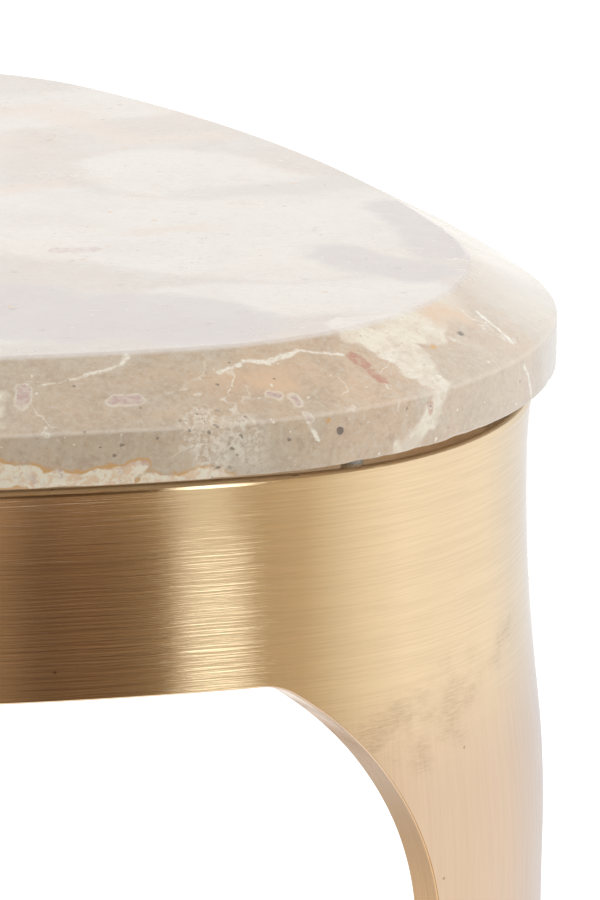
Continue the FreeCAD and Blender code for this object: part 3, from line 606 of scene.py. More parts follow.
    # A pale band along the lower edge, with a rusty seam above it.
    north = n.noise(n.vector("ADD", swirl, (4.0, 2.0, 7.0)), 22.0, 3.0, 0.6)
    depth = n.add("ShaderNodeSeparateXYZ", {0: loose}).outputs[2]
    low = n.less(n.plus(depth, n.times(n.less(north, 0.5), -0.035)), 0.4925)
    low = n.plus(low, n.ease(east, 0.03, 0.06, 0.0, 0.05))
    low = n.math("MINIMUM", low, outside(n, group, LOWER_BAND, loose))
    strip = n.ease(low, 0.0005, -0.0002)
    rust_edge = n.ease(low, 0.0016, 0.0006)
    lay(n.times(rust_edge, n.cloud(tight, 160.0, 3.0, 0.6, 0.34, 0.56, 0.15, 0.8)), finish.rust)
    banded = n.blend(n.cloud(tight, 150.0, 5.0, 0.66, 0.50, 0.66), finish.cream, finish.lilac)
    banded = n.blend(n.cloud(tight, 330.0, 4.0, 0.7, 0.46, 0.60, 0.0, 0.75), banded, finish.peach)
    lay(strip, banded)

    # Crumbs, dust, specks, pits and scratches.
    crumbs = n.most(near(SPECKLED, loose, 0.0025),
                    n.cloud(shifted((2.0, 9.0, 1.0)), 14.0, 2.0, 0.5, 0.66, 0.74))
    lay(n.times(crumbs, n.cloud(tight, 620.0, 4.0, 0.7, 0.42, 0.60, 0.0, 0.55)), finish.vein)
    dust = n.cells(tight, 620.0)
    light_dust = n.times(spots(dust, 0.34, 0.22), n.picked(dust, 1, 0.984))
    lay(n.times(light_dust, 0.75), finish.vein)
    dark_dust = n.times(spots(dust, 0.42, 0.28),
                        n.most(n.picked(dust, 0, 0.990), n.times(n.picked(dust, 2, 0.80), crumbs)))
    lay(n.times(dark_dust, 0.62), finish.pit)
    specks = n.cells(tight, 190.0)
    rusty = n.times(spots(specks, 0.30, 0.12), n.picked(specks, 1, 0.976))
    lay(n.times(rusty, 0.85), finish.rust)
    pits = n.cells(tight, 210.0)
    pit = n.times(spots(pits, 0.34, 0.22), n.picked(pits, 2, 0.986))
    pit = n.times(pit, n.ease(face, 0.0, 1.0, 1.0, 0.30))
    lay(n.times(pit, 0.85), finish.pit)
    slanting = n.stretched(place, (60.0, 2600.0, 2600.0), (0.0, math.radians(-48), 0.3))
    scratch = n.noise(slanting, 1.0, 2.0, 0.5)
    scratched = n.times(n.ease(scratch, 0.68, 0.76), n.cloud(place, 45.0, 2.0, 0.5, 0.50, 0.62))
    lay(n.times(scratched, 0.45), finish.vein)

    # Painted light: the bevel and edge band are painted darker to the left as painted shade and paler to the
    # right as a painted reflection; the top face gets a pale painted reflection and the shoulder a painted
    # highlight.
    lay(n.times(edge, n.ease(east, 0.174, 0.136)), EDGE_PAINTED_SHADE, "MULTIPLY")
    # Painted reflection: the bevel and edge band are painted paler towards the right.
    painted_edge_reflection = n.most(n.ease(back, -0.150, -0.080, 0.0, 0.72), 0.26)
    lay(n.times(edge, n.times(painted_edge_reflection, n.ease(east, 0.165, 0.212))), finish.vein)
    # Painted reflection: a pale cast laid over the top face.
    lay(n.times(face, 0.50), finish.painted_top_reflection)
    # Painted highlight: a thin pale line along the shoulder where the bevel meets the edge band.
    shoulder = n.math("ABSOLUTE", n.less(height, TOP_FACE - settings().stone_sizes.bevel_drop))
    lay(n.ease(shoulder, 0.0008, 0.0001, 0.0, 0.18), finish.vein)

    dull = n.plus(n.times(n.most(pit, scratched), 0.25),
                  n.cloud(place, 60.0, 4.0, 0.6, 0.3, 0.8, finish.roughness - 0.05, finish.roughness + 0.09))
    dent = n.less(n.times(n.noise(place, 420.0, 3.0, 0.6), 0.05), pit)
    relief = n.bump(0.30, 0.0004, dent)
    surface(n, Base_Color=colour, Roughness=dull, Normal=relief, IOR=1.52)
    return material


# Rubbed patches in the brush coordinates of a casting: start, end and half width.
SMUDGES = (
    ((-0.046, 0.4060, 0.0), (-0.018, 0.4150, 0.0), 0.0105),
    ((-0.034, 0.3990, 0.0), (-0.024, 0.4010, 0.0), 0.0070),
    ((0.002, 0.4180, 0.0), (0.012, 0.4240, 0.0), 0.0060),
)


def brass_material():
    """Brushed brass with rubbed patches and scratches, and painted shade on the arch's lower edge: the
    brushing runs along the apron and turns downwards on the legs.
    """
    finish = settings().brass_finish
    material, n = new_finish("brushed_brass")
    uv = n.out("ShaderNodeUVMap", uv_map="brush")
    # 0 on the apron, 1 down the leg, and up to 2 where the arch's lower edge is painted darker as painted
    # shade.
    zone = n.add("ShaderNodeAttribute", attribute_name="leg_share").outputs["Fac"]
    leg = n.math("MINIMUM", zone, 1.0)
    across = n.add("ShaderNodeAttribute", attribute_name="across").outputs["Vector"]
    place = n.add("ShaderNodeTexCoord").outputs["Object"]
    drift = n.scaled(n.vector("SUBTRACT", n.tinted_noise(uv, 45.0, 2.0, 0.5), MIDDLE_GREY), 0.0004)
    hand = n.vector("ADD", uv, drift)

    def brushing(along, athwart, move):
        """Marks that are long the way of the brushing, and change over from level to upright at the knee."""
        shift = (move, move, move)
        level_marks = n.noise(n.stretched(hand, (along, athwart, 1.0), move=shift), 1.0, 2.0, 0.6)
        upright_marks = n.noise(n.stretched(hand, (athwart, along, 1.0), move=shift), 1.0, 2.0, 0.6)
        return n.out("ShaderNodeMix", {0: leg, 2: level_marks, 3: upright_marks})

    hair = brushing(along=70.0, athwart=3200.0, move=0.0)
    stroke = brushing(along=28.0, athwart=1200.0, move=3.7)
    sweep = brushing(along=12.0, athwart=420.0, move=8.1)
    marks = n.plus(n.times(hair, 0.45), n.times(stroke, 0.55))

    # Rubbed patches at the knees, faint slanting scratches and single dark dots.
    rubbed = n.ease(outside(n, line_distance(), SMUDGES, hand), 0.004, -0.006)
    slant = n.noise(n.stretched(hand, (260.0, 1900.0, 1.0), (0.0, 0.0, math.radians(-24))), 1.0, 4.0, 0.65)
    blot = n.noise(uv, 80.0, 4.0, 0.6)
    smudge = n.times(rubbed, n.times(n.ease(slant, 0.36, 0.62, 0.20, 1.0), n.ease(blot, 0.36, 0.66)))
    faint = n.times(n.ease(slant, 0.66, 0.78), n.cloud(uv, 28.0, 2.0, 0.5, 0.50, 0.66, 0.0, 0.5))
    dots = n.cells(place, 330.0)
    chosen = n.picked(dots, 0, 0.990)
    dot = n.times(n.ease(dots.outputs["Distance"], 0.20, 0.10), chosen)
    # Rubbed patches and scratches are real wear; the arch's lower edge adds painted shade here, laid with the
    # patina colour.
    wear_and_painted_shade = n.most(n.most(smudge, faint), n.ease(zone, 1.0, 2.0, 0.0, 0.18))

    metal = n.blend(leg, finish.brass, finish.leg_brass)
    worn = n.times(n.ease(marks, 0.38, 0.62, 0.11, 0.0), n.less(1.0, n.times(leg, 0.5)))
    colour = n.blend(worn, metal, finish.patina)
    colour = n.blend(n.times(wear_and_painted_shade, 0.28), colour, finish.patina)
    colour = n.blend(n.times(dot, 0.55), colour, DOT_BROWN)
    # Painted shade: the arch's lower edge is painted darker.
    colour = n.blend(n.ease(zone, 1.0, 2.0), colour, SOFFIT_PAINTED_SHADE, "MULTIPLY")
    dull = n.plus(n.times(wear_and_painted_shade, 0.15),
                  n.ease(marks, 0.25, 0.75, finish.roughness + 0.03, finish.roughness - 0.02))
    height = n.plus(n.times(hair, 0.22), n.times(stroke, 0.68))
    height = n.plus(height, n.times(sweep, 0.2))
    relief = n.bump(1.0, 0.00009, height)
    surface(n, Base_Color=colour, Metallic=1.0, Roughness=dull, Normal=relief, Anisotropic=finish.grain,
            Tangent=across)
    return material


# Plated and turned metals: colour, roughness and the scale of their grain.
ZINC_PLATE = ((0.52, 0.53, 0.55), 0.36, 240.0)
BRIGHT_ZINC = ((0.66, 0.66, 0.67), 0.30, 420.0)
TURNED_BRASS = ((0.72, 0.55, 0.28), 0.30, 500.0)
# Moulded pieces: colour, roughness and clearness.
BLACK_NYLON = ((0.030, 0.029, 0.028), 0.45, 0.0)
CLEAR_PAD = ((0.86, 0.86, 0.83), 0.28, 0.45)


def plated_material(name, colour, roughness, scale):
    """Zinc plate or turned metal with a fine crystal grain."""
    material, n = new_finish(name)
    place = n.add("ShaderNodeTexCoord").outputs["Object"]
    grain = n.noise(place, scale, 4.0, 0.6)
    dark = tuple(0.62 * c for c in colour)
    mottled = n.blend(n.ease(grain, 0.3, 0.75), dark, colour)
    dull = n.ease(grain, 0.2, 0.8, roughness + 0.12, roughness - 0.05)
    relief = n.bump(0.2, 0.0002, grain)
    surface(n, Base_Color=mottled, Metallic=1.0, Roughness=dull, Normal=relief)
    return material


def moulded_material(name, colour, roughness, clear):
    """Moulded nylon or a clear soft pad, with a fine spark texture."""
    material, n = new_finish(name)
    place = n.add("ShaderNodeTexCoord").outputs["Object"]
    spark = n.noise(place, 2600.0, 2.0, 0.6)
    cloud = n.noise(place, 180.0, 3.0, 0.5)
    shade = n.blend(n.ease(cloud, 0.3, 0.7), tuple(0.8 * c for c in colour), colour)
    relief = n.bump(0.25, 0.0001, spark)
    dull = n.ease(spark, 0.2, 0.8, roughness - 0.06, roughness + 0.08)
    surface(n, Base_Color=shade, Roughness=dull, Normal=relief, Transmission_Weight=clear)
    return material


class SIDETABLE_OT_stone_top(bpy.types.Operator):
    """Builds the bevelled stone slab with its sleeve sockets"""
    bl_idname = "sidetable.stone_top"
    bl_label = "Stone Top"

    def execute(self, context):
        mesh = stone_mesh(settings().stone_sizes)
        piece = new_piece("stone_slab", mesh, stone_material())
        seat_piece(piece, "stone", "stone_top")
        return {"FINISHED"}


# Chips along the lower arris: seed and number, widths in columns, and as shares of the largest chip, their
# depths and the fine roughness between them.
CHIP_SEED, CHIPS = 7, 70
CHIP_WIDTHS, CHIP_DEPTHS, CHIP_GRAIN = (1.0, 5.0), (0.15, 1.0), 0.10
# Rings round the lower arris, up the edge band, round each upper arris and up the bevel.
LOW_RINGS, BAND_RINGS, ARRIS_RINGS, BEVEL_RINGS = 5, 8, 4, 11
# Shares of the way up at which the even rings of band and bevel begin and end, and the bevel's outermost two.
BAND_SPAN, BEVEL_SPAN, BEVEL_ENDS = (0.04, 0.96), (0.08, 0.92), (0.004, 0.996)
# Distance of the rings that keep the shading of an arris to itself, and of the top face's outermost ring.
SUPPORT, TOP_MARGIN = 0.00012, 0.004
# The underside's outermost ring lies this many chip depths within the lower arris.
CHIP_MARGIN = 2.5
# Degrees between the sides of a sleeve's socket.
SOCKET_STEP = 12


def arc_steps(start, end, count):
    """Angles in radians over an arc that is given in degrees."""
    return [math.radians(start + (end - start) * i / count) for i in range(count + 1)]


def edge_chips(columns, depth):
    """How much wider the lower arris is at each column: small chips at random, the same on every run."""
    rng = np.random.default_rng(CHIP_SEED)
    step = np.arange(columns)
    chips = CHIP_GRAIN * depth * rng.random(columns)
    for _ in range(CHIPS):
        middle, width = rng.integers(columns), rng.uniform(*CHIP_WIDTHS)
        away = np.minimum(np.abs(step - middle), columns - np.abs(step - middle))
        chips = np.maximum(chips, depth * rng.uniform(*CHIP_DEPTHS) * np.clip(1 - (away / width) ** 2, 0, 1))
    return chips


def slab_rings(sizes):
    """The slab's section from the underside round the edge to the top face: offset and height by column."""
    arris = sizes.arris
    slope = math.atan2(sizes.bevel_drop, sizes.bevel_run)
    tilt = 90 - math.degrees(slope)
    even = np.zeros(3 * sizes.columns)
    chipped = arris + edge_chips(len(even), sizes.chip_depth)
    band_foot = UNDERSIDE + chipped
    band_head = TOP_FACE - sizes.bevel_drop - arris * math.tan(math.radians(tilt) / 2)
    top_edge = -sizes.bevel_run - arris * math.tan(slope / 2)
    rings = []

    def ring(offset, height):
        rings.append((even + offset, even + height))

    ring(-arris - CHIP_MARGIN * sizes.chip_depth, UNDERSIDE)
    for a in arc_steps(-90, 0, LOW_RINGS):
        ring(chipped * (math.cos(a) - 1), UNDERSIDE + chipped * (1 + math.sin(a)))
    for part in np.linspace(*BAND_SPAN, BAND_RINGS):
        ring(0.0, band_foot + (band_head - band_foot) * part)
    ring(0.0, band_head - SUPPORT)
    for a in arc_steps(0, tilt, ARRIS_RINGS):
        ring(arris * (math.cos(a) - 1), band_head + arris * math.sin(a))
    lean = math.radians(tilt)
    foot = np.array([arris * (math.cos(lean) - 1), band_head + arris * math.sin(lean)])
    head = np.array([top_edge + arris * math.cos(lean), TOP_FACE - arris + arris * math.sin(lean)])
    for part in (BEVEL_ENDS[0], *np.linspace(*BEVEL_SPAN, BEVEL_RINGS), BEVEL_ENDS[1]):
        ring(*(foot + (head - foot) * part))
    for a in arc_steps(tilt, 90, ARRIS_RINGS):
        ring(top_edge + arris * math.cos(a), TOP_FACE - arris + arris * math.sin(a))
    ring(top_edge - SUPPORT, TOP_FACE)
    ring(-sizes.bevel_run - TOP_MARGIN, TOP_FACE)
    return rings


def stone_mesh(sizes):
    """Joins the slab's rings, closes its top face and fills its underside round the sockets."""
    plan = Plan(sizes)
    third = sizes.columns
    reach = plan.run(SIXTH)
    turn = plan.turn(np.linspace(-reach, reach, third, endpoint=False))
    bm = bmesh.new()
    loops = []
    for offset, height in slab_rings(sizes):
        loop = []
        for index, degrees in enumerate(CORNERS.values()):
            own = slice(index * third, (index + 1) * third)
            flat = plan.points(turn, offset[own])
            loop += [bm.verts.new(spot) for spot in placed(np.column_stack([flat, height[own]]), degrees)]
        loops.append(loop)
    for lower, upper in zip(loops, loops[1:]):
        for i in range(len(lower)):
            j = (i + 1) % len(lower)
            bm.faces.new((lower[i], lower[j], upper[j], upper[i]))
    bm.faces.new(loops[-1])
    rim_edges = [bm.edges.get((loops[0][i - 1], loops[0][i])) for i in range(len(loops[0]))]
    rim_edges += sleeve_sockets(bm, sizes)
    bmesh.ops.triangle_fill(bm, edges=rim_edges, use_beauty=True, normal=(0, 0, -1))
    bmesh.ops.recalc_face_normals(bm, faces=bm.faces)
    for face in bm.faces:
        face.smooth = True
    mesh = bpy.data.meshes.new("stone_slab")
    bm.to_mesh(mesh)
    bm.free()
    return mesh


def sleeve_sockets(bm, sizes):
    """Three blind bores in the underside. Returns their rims."""
    rims = []
    around = np.radians(np.arange(0, 360, SOCKET_STEP))
    flat = np.column_stack([sizes.socket_reach + sizes.socket_radius * np.cos(around),
                            sizes.socket_radius * np.sin(around)])
    for degrees in SIDES.values():
        rings = []
        for height in (UNDERSIDE, UNDERSIDE + sizes.socket_depth):
            spots = placed(np.column_stack([flat, np.full(len(flat), height)]), degrees)
            rings.append([bm.verts.new(spot) for spot in spots])
        mouth, end = rings
        for i in range(len(mouth)):
            bm.faces.new((mouth[i - 1], mouth[i], end[i], end[i - 1]))
            rims.append(bm.edges.get((mouth[i - 1], mouth[i])))
        bm.faces.new(end)
    return rims


MICROMETRES = 1e6


class Shell:
    """Gathers grids of points, with their own normals, brush coordinates and grain, into one mesh."""

    def __init__(self):
        self.points, self.normals, self.brush, self.grain, self.leg, self.faces = [], [], [], [], [], []
        self.count = 0

    def take(self, points, normals, brush, grain, leg):
        shape = points.shape[:-1]
        first = self.count
        self.points.append(points.reshape(-1, 3))
        for store, data, width in ((self.normals, normals, 3), (self.brush, brush, 2),
                                   (self.grain, grain, 3)):
            store.append(np.broadcast_to(data, (*shape, width)).reshape(-1, width))
        self.leg.append(np.broadcast_to(leg, shape).reshape(-1))
        self.count += self.points[-1].shape[0]
        return first + np.arange(self.count - first).reshape(shape)

    def grid(self, *data):
        index = self.take(*data)
        quads = np.stack([index[:-1, :-1], index[:-1, 1:], index[1:, 1:], index[1:, :-1]], -1)
        self.faces += quads.reshape(-1, 4).tolist()
        return index

    def mesh(self, name, degrees):
        points, normals = np.concatenate(self.points), np.concatenate(self.normals)
        keys = np.round(points * MICROMETRES).astype(np.int64)
        _, first, merged = np.unique(keys, axis=0, return_index=True, return_inverse=True)
        merged = merged.reshape(-1)
        faces, corners = [], []
        for face in self.faces:
            kept = [i for k, i in enumerate(face) if merged[i] != merged[face[k - 1]]]
            if len(kept) > 2:
                faces.append(merged[kept].tolist())
                corners += kept
        mesh = bpy.data.meshes.new(name)
        mesh.from_pydata(placed(points[first], degrees).tolist(), [], faces)
        mesh.polygons.foreach_set("use_smooth", np.ones(len(faces), bool))
        layer = mesh.uv_layers.new(name="brush")
        layer.data.foreach_set("uv", np.concatenate(self.brush)[corners].astype(np.float32).ravel())
        grain = mesh.attributes.new("across", "FLOAT_VECTOR", "CORNER")
        along = turned(np.concatenate(self.grain)[corners], degrees)
        grain.data.foreach_set("vector", along.astype(np.float32).ravel())
        leg = mesh.attributes.new("leg_share", "FLOAT", "CORNER")
        leg.data.foreach_set("value", np.concatenate(self.leg)[corners].astype(np.float32))
        mesh.normals_split_custom_set_from_vertices(turned(normals[first], degrees).tolist())
        mesh.update()
        return mesh


# Faces along each stretch of a casting: up its outer wall, round the lip, round an eased edge, down its inner
# wall, then up the leg, up the knee, round the arch and round the arch's small corner.
OUTER_ROWS, LIP_ROWS, EASE_ROWS, INNER_ROWS = 26, 8, 3, 22
LEG_ROWS, KNEE_ROWS, ARCH_ROWS, CORNER_ROWS = 18, 10, 44, 16
# Heights below the knee between which the rows of the leg go over to those of the knee.
LEG_END, KNEE_START = 0.03, 0.025
# Faces across half the leg, and from the arch's end to the seam.
LEG_COLUMNS, SIDE_COLUMNS = 50, 30
# Shares of the wall at which an edge has rows between its two eased sides.
EDGE_MIDDLES = (0.25, 0.5, 0.75)
# The knee's curve is followed up to this share of its radius.
KNEE_LIMIT = 0.9
# The brushing turns from level to upright below this height over the apron's foot, and over this length.
TURN_START, TURN_LENGTH = 0.004, 0.046
# Painted shade: the arch's edge is painted darker from this far below the apron's foot, and over this length.
SOFFIT_START, SOFFIT_LENGTH = 0.019, 0.04
SEAT_EASE = 0.0005
UP = np.array([0.0, 0.0, 1.0])
MIRRORS = np.array([[1.0, -1.0, 1.0], [1.0, 1.0, 1.0]])


def unit(vectors):
    return vectors / np.linalg.norm(vectors, axis=-1, keepdims=True)


class CastingForm:
    """The casting's upright section and its arch, about a corner at angle 0 on the table's axis."""

    def __init__(self, sizes):
        self.sizes, self.plan = sizes, Plan(sizes)
        self.waist = RIM - sizes.waist_drop
        self.knee = RIM - sizes.knee_drop
        self.apron_foot = RIM - sizes.apron_height
        self.bend = 2 * math.atan2(sizes.knee_flare, self.waist - self.knee)
        self.bulge = (self.waist - self.knee) / math.sin(self.bend) - sizes.cove_radius
        rise = RIM - sizes.lip_radius - self.waist
        hollow = sizes.lip_cove_radius + sizes.lip_radius
        self.lip_offset = sizes.lip_cove_radius - math.sqrt(hollow ** 2 - rise ** 2)
        self.lip_turn = math.asin(rise / hollow)
        self.lean = math.atan2(sizes.taper, self.apron_foot - sizes.arch_drop - FOOT)
        big, small = sizes.arch_radius, sizes.arch_corner_radius
        self.arch_centre = (big * math.cos(self.lean),
                            self.apron_foot - sizes.arch_drop - big * math.sin(self.lean))
        climb = self.apron_foot - small - self.arch_centre[1]
        self.small_across = self.arch_centre[0] - math.sqrt((big - small) ** 2 - climb ** 2)
        self.arch_turn = math.pi - math.asin(climb / (big - small))

    def face(self, height, depth):
        """Offset from the waist and slope of the wall at a height: depth 0 is outside, the wall is inside."""
        s = self.sizes
        above = np.clip(height - self.waist, 0.0, None)
        below = np.clip(self.waist - height, 0.0, None)
        over = np.clip(height - self.knee, 0.0, None)
        bulge = self.bulge - depth
        lip = np.sqrt(s.lip_cove_radius ** 2 - above ** 2)
        cove = np.sqrt((s.cove_radius + depth) ** 2 - below ** 2)
        knee = np.sqrt(bulge ** 2 - np.minimum(over, bulge * KNEE_LIMIT) ** 2)
        coved = height > self.knee + bulge * math.sin(self.bend)
        offset = np.where(coved, s.cove_radius - cove, s.knee_flare - self.bulge + knee)
        slope = np.where(coved, -below / cove, -over / knee)
        if depth == 0.0:
            offset = np.where(height > self.waist, s.lip_cove_radius - lip, offset)
            slope = np.where(height > self.waist, above / lip, slope)
        return offset, slope

    def section(self):
        """Rows over the apron from its outer foot over the rim to its inner foot: offset, height, normal."""
        s, ease = self.sizes, self.sizes.edge_round
        lip_foot = self.waist + s.lip_cove_radius * math.sin(self.lip_turn)
        rows = []

        def wall(heights, depth, way):
            for height in heights:
                offset, slope = self.face(height, depth)
                rows.append((float(offset), height, way, -way * float(slope)))

        wall(np.linspace(self.apron_foot + ease, lip_foot, OUTER_ROWS)[:-1], 0.0, 1.0)
        for a in arc_steps(-math.degrees(self.lip_turn), 90, LIP_ROWS):
            rows.append((self.lip_offset + s.lip_radius * math.cos(a), RIM - s.lip_radius * (1 - math.sin(a)),
                         math.cos(a), math.sin(a)))
        for a in arc_steps(90, 180, EASE_ROWS):
            rows.append((-s.wall + ease * (1 + math.cos(a)), RIM - ease * (1 - math.sin(a)),
                         math.cos(a), math.sin(a)))
        wall(np.linspace(RIM - ease, self.apron_foot + ease, INNER_ROWS)[1:], s.wall, -1.0)
        rows = np.array(rows)
        rows[:, 2:] = unit(rows[:, 2:])
        return rows

    def edge_steps(self):
        """Steps through the wall at an edge: depth, set-back and the normal's shares of face and edge."""
        ease, wall = self.sizes.edge_round, self.sizes.wall
        steps = [(ease * (1 - math.cos(a)), ease * (1 - math.sin(a)), math.cos(a), math.sin(a))
                 for a in arc_steps(0, 90, EASE_ROWS)]
        middle = [(wall * part, 0.0, 0.0, 1.0) for part in EDGE_MIDDLES]
        return steps + middle + [(wall - d, b, -f, e) for d, b, f, e in reversed(steps)]

    def arch(self, back):
        """The arch's edge from foot to apron, set back into the metal: across, height, the edge's normal."""
        s = self.sizes
        arch_end = self.apron_foot - s.arch_drop
        line = np.concatenate([np.linspace(FOOT + s.edge_round, self.knee - LEG_END, LEG_ROWS),
                               np.linspace(self.knee - KNEE_START, arch_end, KNEE_ROWS)[:-1]])
        cos, sin = math.cos(self.lean), math.sin(self.lean)
        across = -s.taper + (line - FOOT) * math.tan(self.lean) - back / cos
        rows = [(x, z, cos, -sin) for x, z in zip(across, line)]
        corner = (self.small_across, self.apron_foot - s.arch_corner_radius)
        arch_turns = np.linspace(math.pi - self.lean, self.arch_turn, ARCH_ROWS)
        corner_turns = np.linspace(self.arch_turn, math.pi / 2, CORNER_ROWS)[1:]
        for centre, radius, turns in ((self.arch_centre, s.arch_radius, arch_turns),
                                      (corner, s.arch_corner_radius, corner_turns)):
            rows += [(centre[0] + (radius + back) * math.cos(a), centre[1] + (radius + back) * math.sin(a),
                      -math.cos(a), -math.sin(a)) for a in turns]
        return np.array(rows)

    def edge_rows(self):
        """The arch's edge at each step through the wall: offset, arch, the wall's slope and both shares."""
        rows = []
        for depth, back, face_part, edge_part in self.edge_steps():
            arch = self.arch(back)
            outer, slope = self.face(arch[:, 1], 0.0)
            inner, _ = self.face(arch[:, 1], self.sizes.wall)
            offset = outer + (inner - outer) * depth / self.sizes.wall
            rows.append((offset, arch, slope, face_part, edge_part))
        return rows

    def edge_turn(self, across, offset):
        return self.plan.turn_across(across, offset, self.sizes.edge_angle)

    def side_runs(self, offset, parts):
        """Lengths along the outline, at parts of the way from the arch's end to the seam."""
        end = self.plan.run(self.edge_turn(self.small_across, offset), offset)
        seam = self.plan.run(SIXTH, offset) - self.sizes.seam_round
        return end + (seam - end) * parts

    def leg_turns(self, edge, offset, spread):
        """Turns from one edge of the leg to the other."""
        return self.plan.turn(self.plan.run(edge, offset) * spread, offset)


def wall_points(form, turn, offset, height):
    flat = form.plan.points(turn, offset)
    return np.concatenate([flat, np.broadcast_to(np.asarray(height)[..., None], (*flat.shape[:-1], 1))], -1)


def ray(turn):
    return np.stack([np.cos(turn), np.sin(turn), np.zeros_like(turn)], -1)


def across_ray(turn):
    return np.stack([-np.sin(turn), np.cos(turn), np.zeros_like(turn)], -1)


def brushed_wall(shell, form, turn, offset, height, normals):
    """A stretch of wall, brushed level on the apron, where the leg share is 0, and upright down the leg."""
    part = np.clip((form.apron_foot + TURN_START - height) / TURN_LENGTH, 0.0, 1.0)
    leg_share = part * part * (3 - 2 * part)
    quarter = leg_share[..., None] * (math.pi / 2)
    across_brushing = np.cos(quarter) * UP - np.sin(quarter) * across_ray(turn)
    shell.grid(wall_points(form, turn, offset, height), normals, np.stack([form.plan.run(turn), height], -1),
               across_brushing, leg_share)


def casting_shell(sizes):
    """A leg with half an apron to either side, about a corner at angle 0."""
    form, shell = CastingForm(sizes), Shell()
    spread = np.linspace(-1.0, 1.0, 2 * LEG_COLUMNS + 1)
    section, rows = form.section(), form.edge_rows()
    apron_walls(shell, form, section, spread)
    for mirror in MIRRORS:
        arch_edge(shell, form, rows, mirror)
        apron_edge(shell, form, rows, mirror)
        close_seam(shell, form, section, rows, mirror)
    leg_walls(shell, form, spread)
    close_sole(shell, form, spread)
    for mirror in MIRRORS:
        bracket_seat(shell, form, mirror)
    return shell


def apron_walls(shell, form, section, spread):
    """The apron's outer face, rim and inner face, from seam to seam."""
    offset = section[:, 0, None]
    side = form.side_runs(offset, np.linspace(0.0, 1.0, SIDE_COLUMNS))
    end, beyond = side[:, :1], side[:, 1:]
    turn = form.plan.turn(np.concatenate([-beyond[:, ::-1], end * spread, beyond], -1), offset)
    normals = section[:, 2, None, None] * ray(turn) + section[:, 3, None, None] * UP
    brushed_wall(shell, form, turn, offset, np.broadcast_to(section[:, 1, None], turn.shape), normals)


def arch_edge(shell, form, rows, mirror):
    """The wall's thickness up the leg and round the arch, with its edges eased."""
    side = np.array([-math.sin(form.sizes.edge_angle), math.cos(form.sizes.edge_angle), 0.0])
    spots, facing, flow = [], [], []
    for offset, arch, slope, face_part, edge_part in rows:
        edge = form.edge_turn(arch[:, 0], offset)
        spots.append(wall_points(form, edge, offset, arch[:, 1]))
        outwards = unit(ray(edge) - slope[:, None] * UP)
        facing.append(face_part * outwards + edge_part * (arch[:, 2, None] * side + arch[:, 3, None] * UP))
        flow.append(ray(edge))
    spots = np.array(spots)
    travel = np.concatenate([[0.0], np.cumsum(np.linalg.norm(np.diff(spots[EASE_ROWS], axis=0), axis=1))])
    depths = np.array([step[0] for step in form.edge_steps()])
    brush = np.stack(np.broadcast_arrays(depths[:, None], travel), -1)
    # Painted shade: how far down the arch's edge is painted darker, carried in the leg share above 1.
    soffit = np.clip((form.apron_foot - SOFFIT_START - spots[..., 2]) / SOFFIT_LENGTH, 0.0, 1.0)
    shell.grid(spots * mirror, unit(np.array(facing)) * mirror, brush, np.array(flow) * mirror, 1.0 + soffit)


def apron_edge(shell, form, rows, mirror):
    """The wall's thickness under the apron, from the arch's end to the seam."""
    spots, facing, flow, brush = [], [], [], []
    for (depth, *_), (offset, arch, slope, face_part, edge_part) in zip(form.edge_steps(), rows):
        offset = offset[-1]
        turn = form.plan.turn(form.side_runs(offset, np.linspace(0.0, 1.0, SIDE_COLUMNS)), offset)
        spots.append(wall_points(form, turn, offset, arch[-1, 1]))
        facing.append(face_part * (ray(turn) - slope[-1] * UP) - edge_part * UP)
        flow.append(ray(turn))
        brush.append(np.stack(np.broadcast_arrays(form.plan.run(turn), depth), -1))
    shell.grid(np.array(spots) * mirror, unit(np.array(facing)) * mirror, np.array(brush),
               np.array(flow) * mirror, 0.0)


def leg_walls(shell, form, spread):
    """The leg's outer and inner face, up to the apron."""
    arch = form.arch(form.sizes.edge_round)
    for depth, sign in ((0.0, 1.0), (form.sizes.wall, -1.0)):
        offset, slope = form.face(arch[:, 1, None], depth)
        turn = form.leg_turns(form.edge_turn(arch[:, 0, None], offset), offset, spread)
        normals = sign * unit(ray(turn) - slope[..., None] * UP)
        brushed_wall(shell, form, turn, offset, np.broadcast_to(arch[:, 1, None], turn.shape), normals)


def close_seam(shell, form, section, rows, mirror):
    """The flat end of an apron half, with its edges eased."""
    ease = form.sizes.seam_round
    loop = [(offset, height) for offset, height, _, _ in section]
    loop += [(offset[-1], arch[-1, 1]) for offset, arch, *_ in reversed(rows[1:-1])]
    loop = np.array(loop + loop[:1])
    offset, height = loop.T
    seam = form.plan.turn(form.plan.run(SIXTH, offset) - ease, offset)
    ring = wall_points(form, seam, offset, height)
    middle = np.array([-form.sizes.wall / 2, (RIM + form.apron_foot) / 2])
    inset = loop + np.clip(middle - loop, -ease, ease)
    end = wall_points(form, np.full(len(loop), SIXTH), inset[:, 0], inset[:, 1])
    out = across_ray(np.array(SIXTH)) * mirror
    wall_out = ray(np.array(SIXTH)) * mirror
    normals = np.array([np.broadcast_to(wall_out, ring.shape), np.broadcast_to(out, end.shape)])
    index = shell.take(np.array([ring, end]) * mirror, normals, np.array([loop, loop]), wall_out, 0.0)
    for k in range(len(loop) - 1):
        shell.faces.append([index[0, k], index[0, k + 1], index[1, k + 1], index[1, k]])
    shell.faces.append(index[1, :-1].tolist())


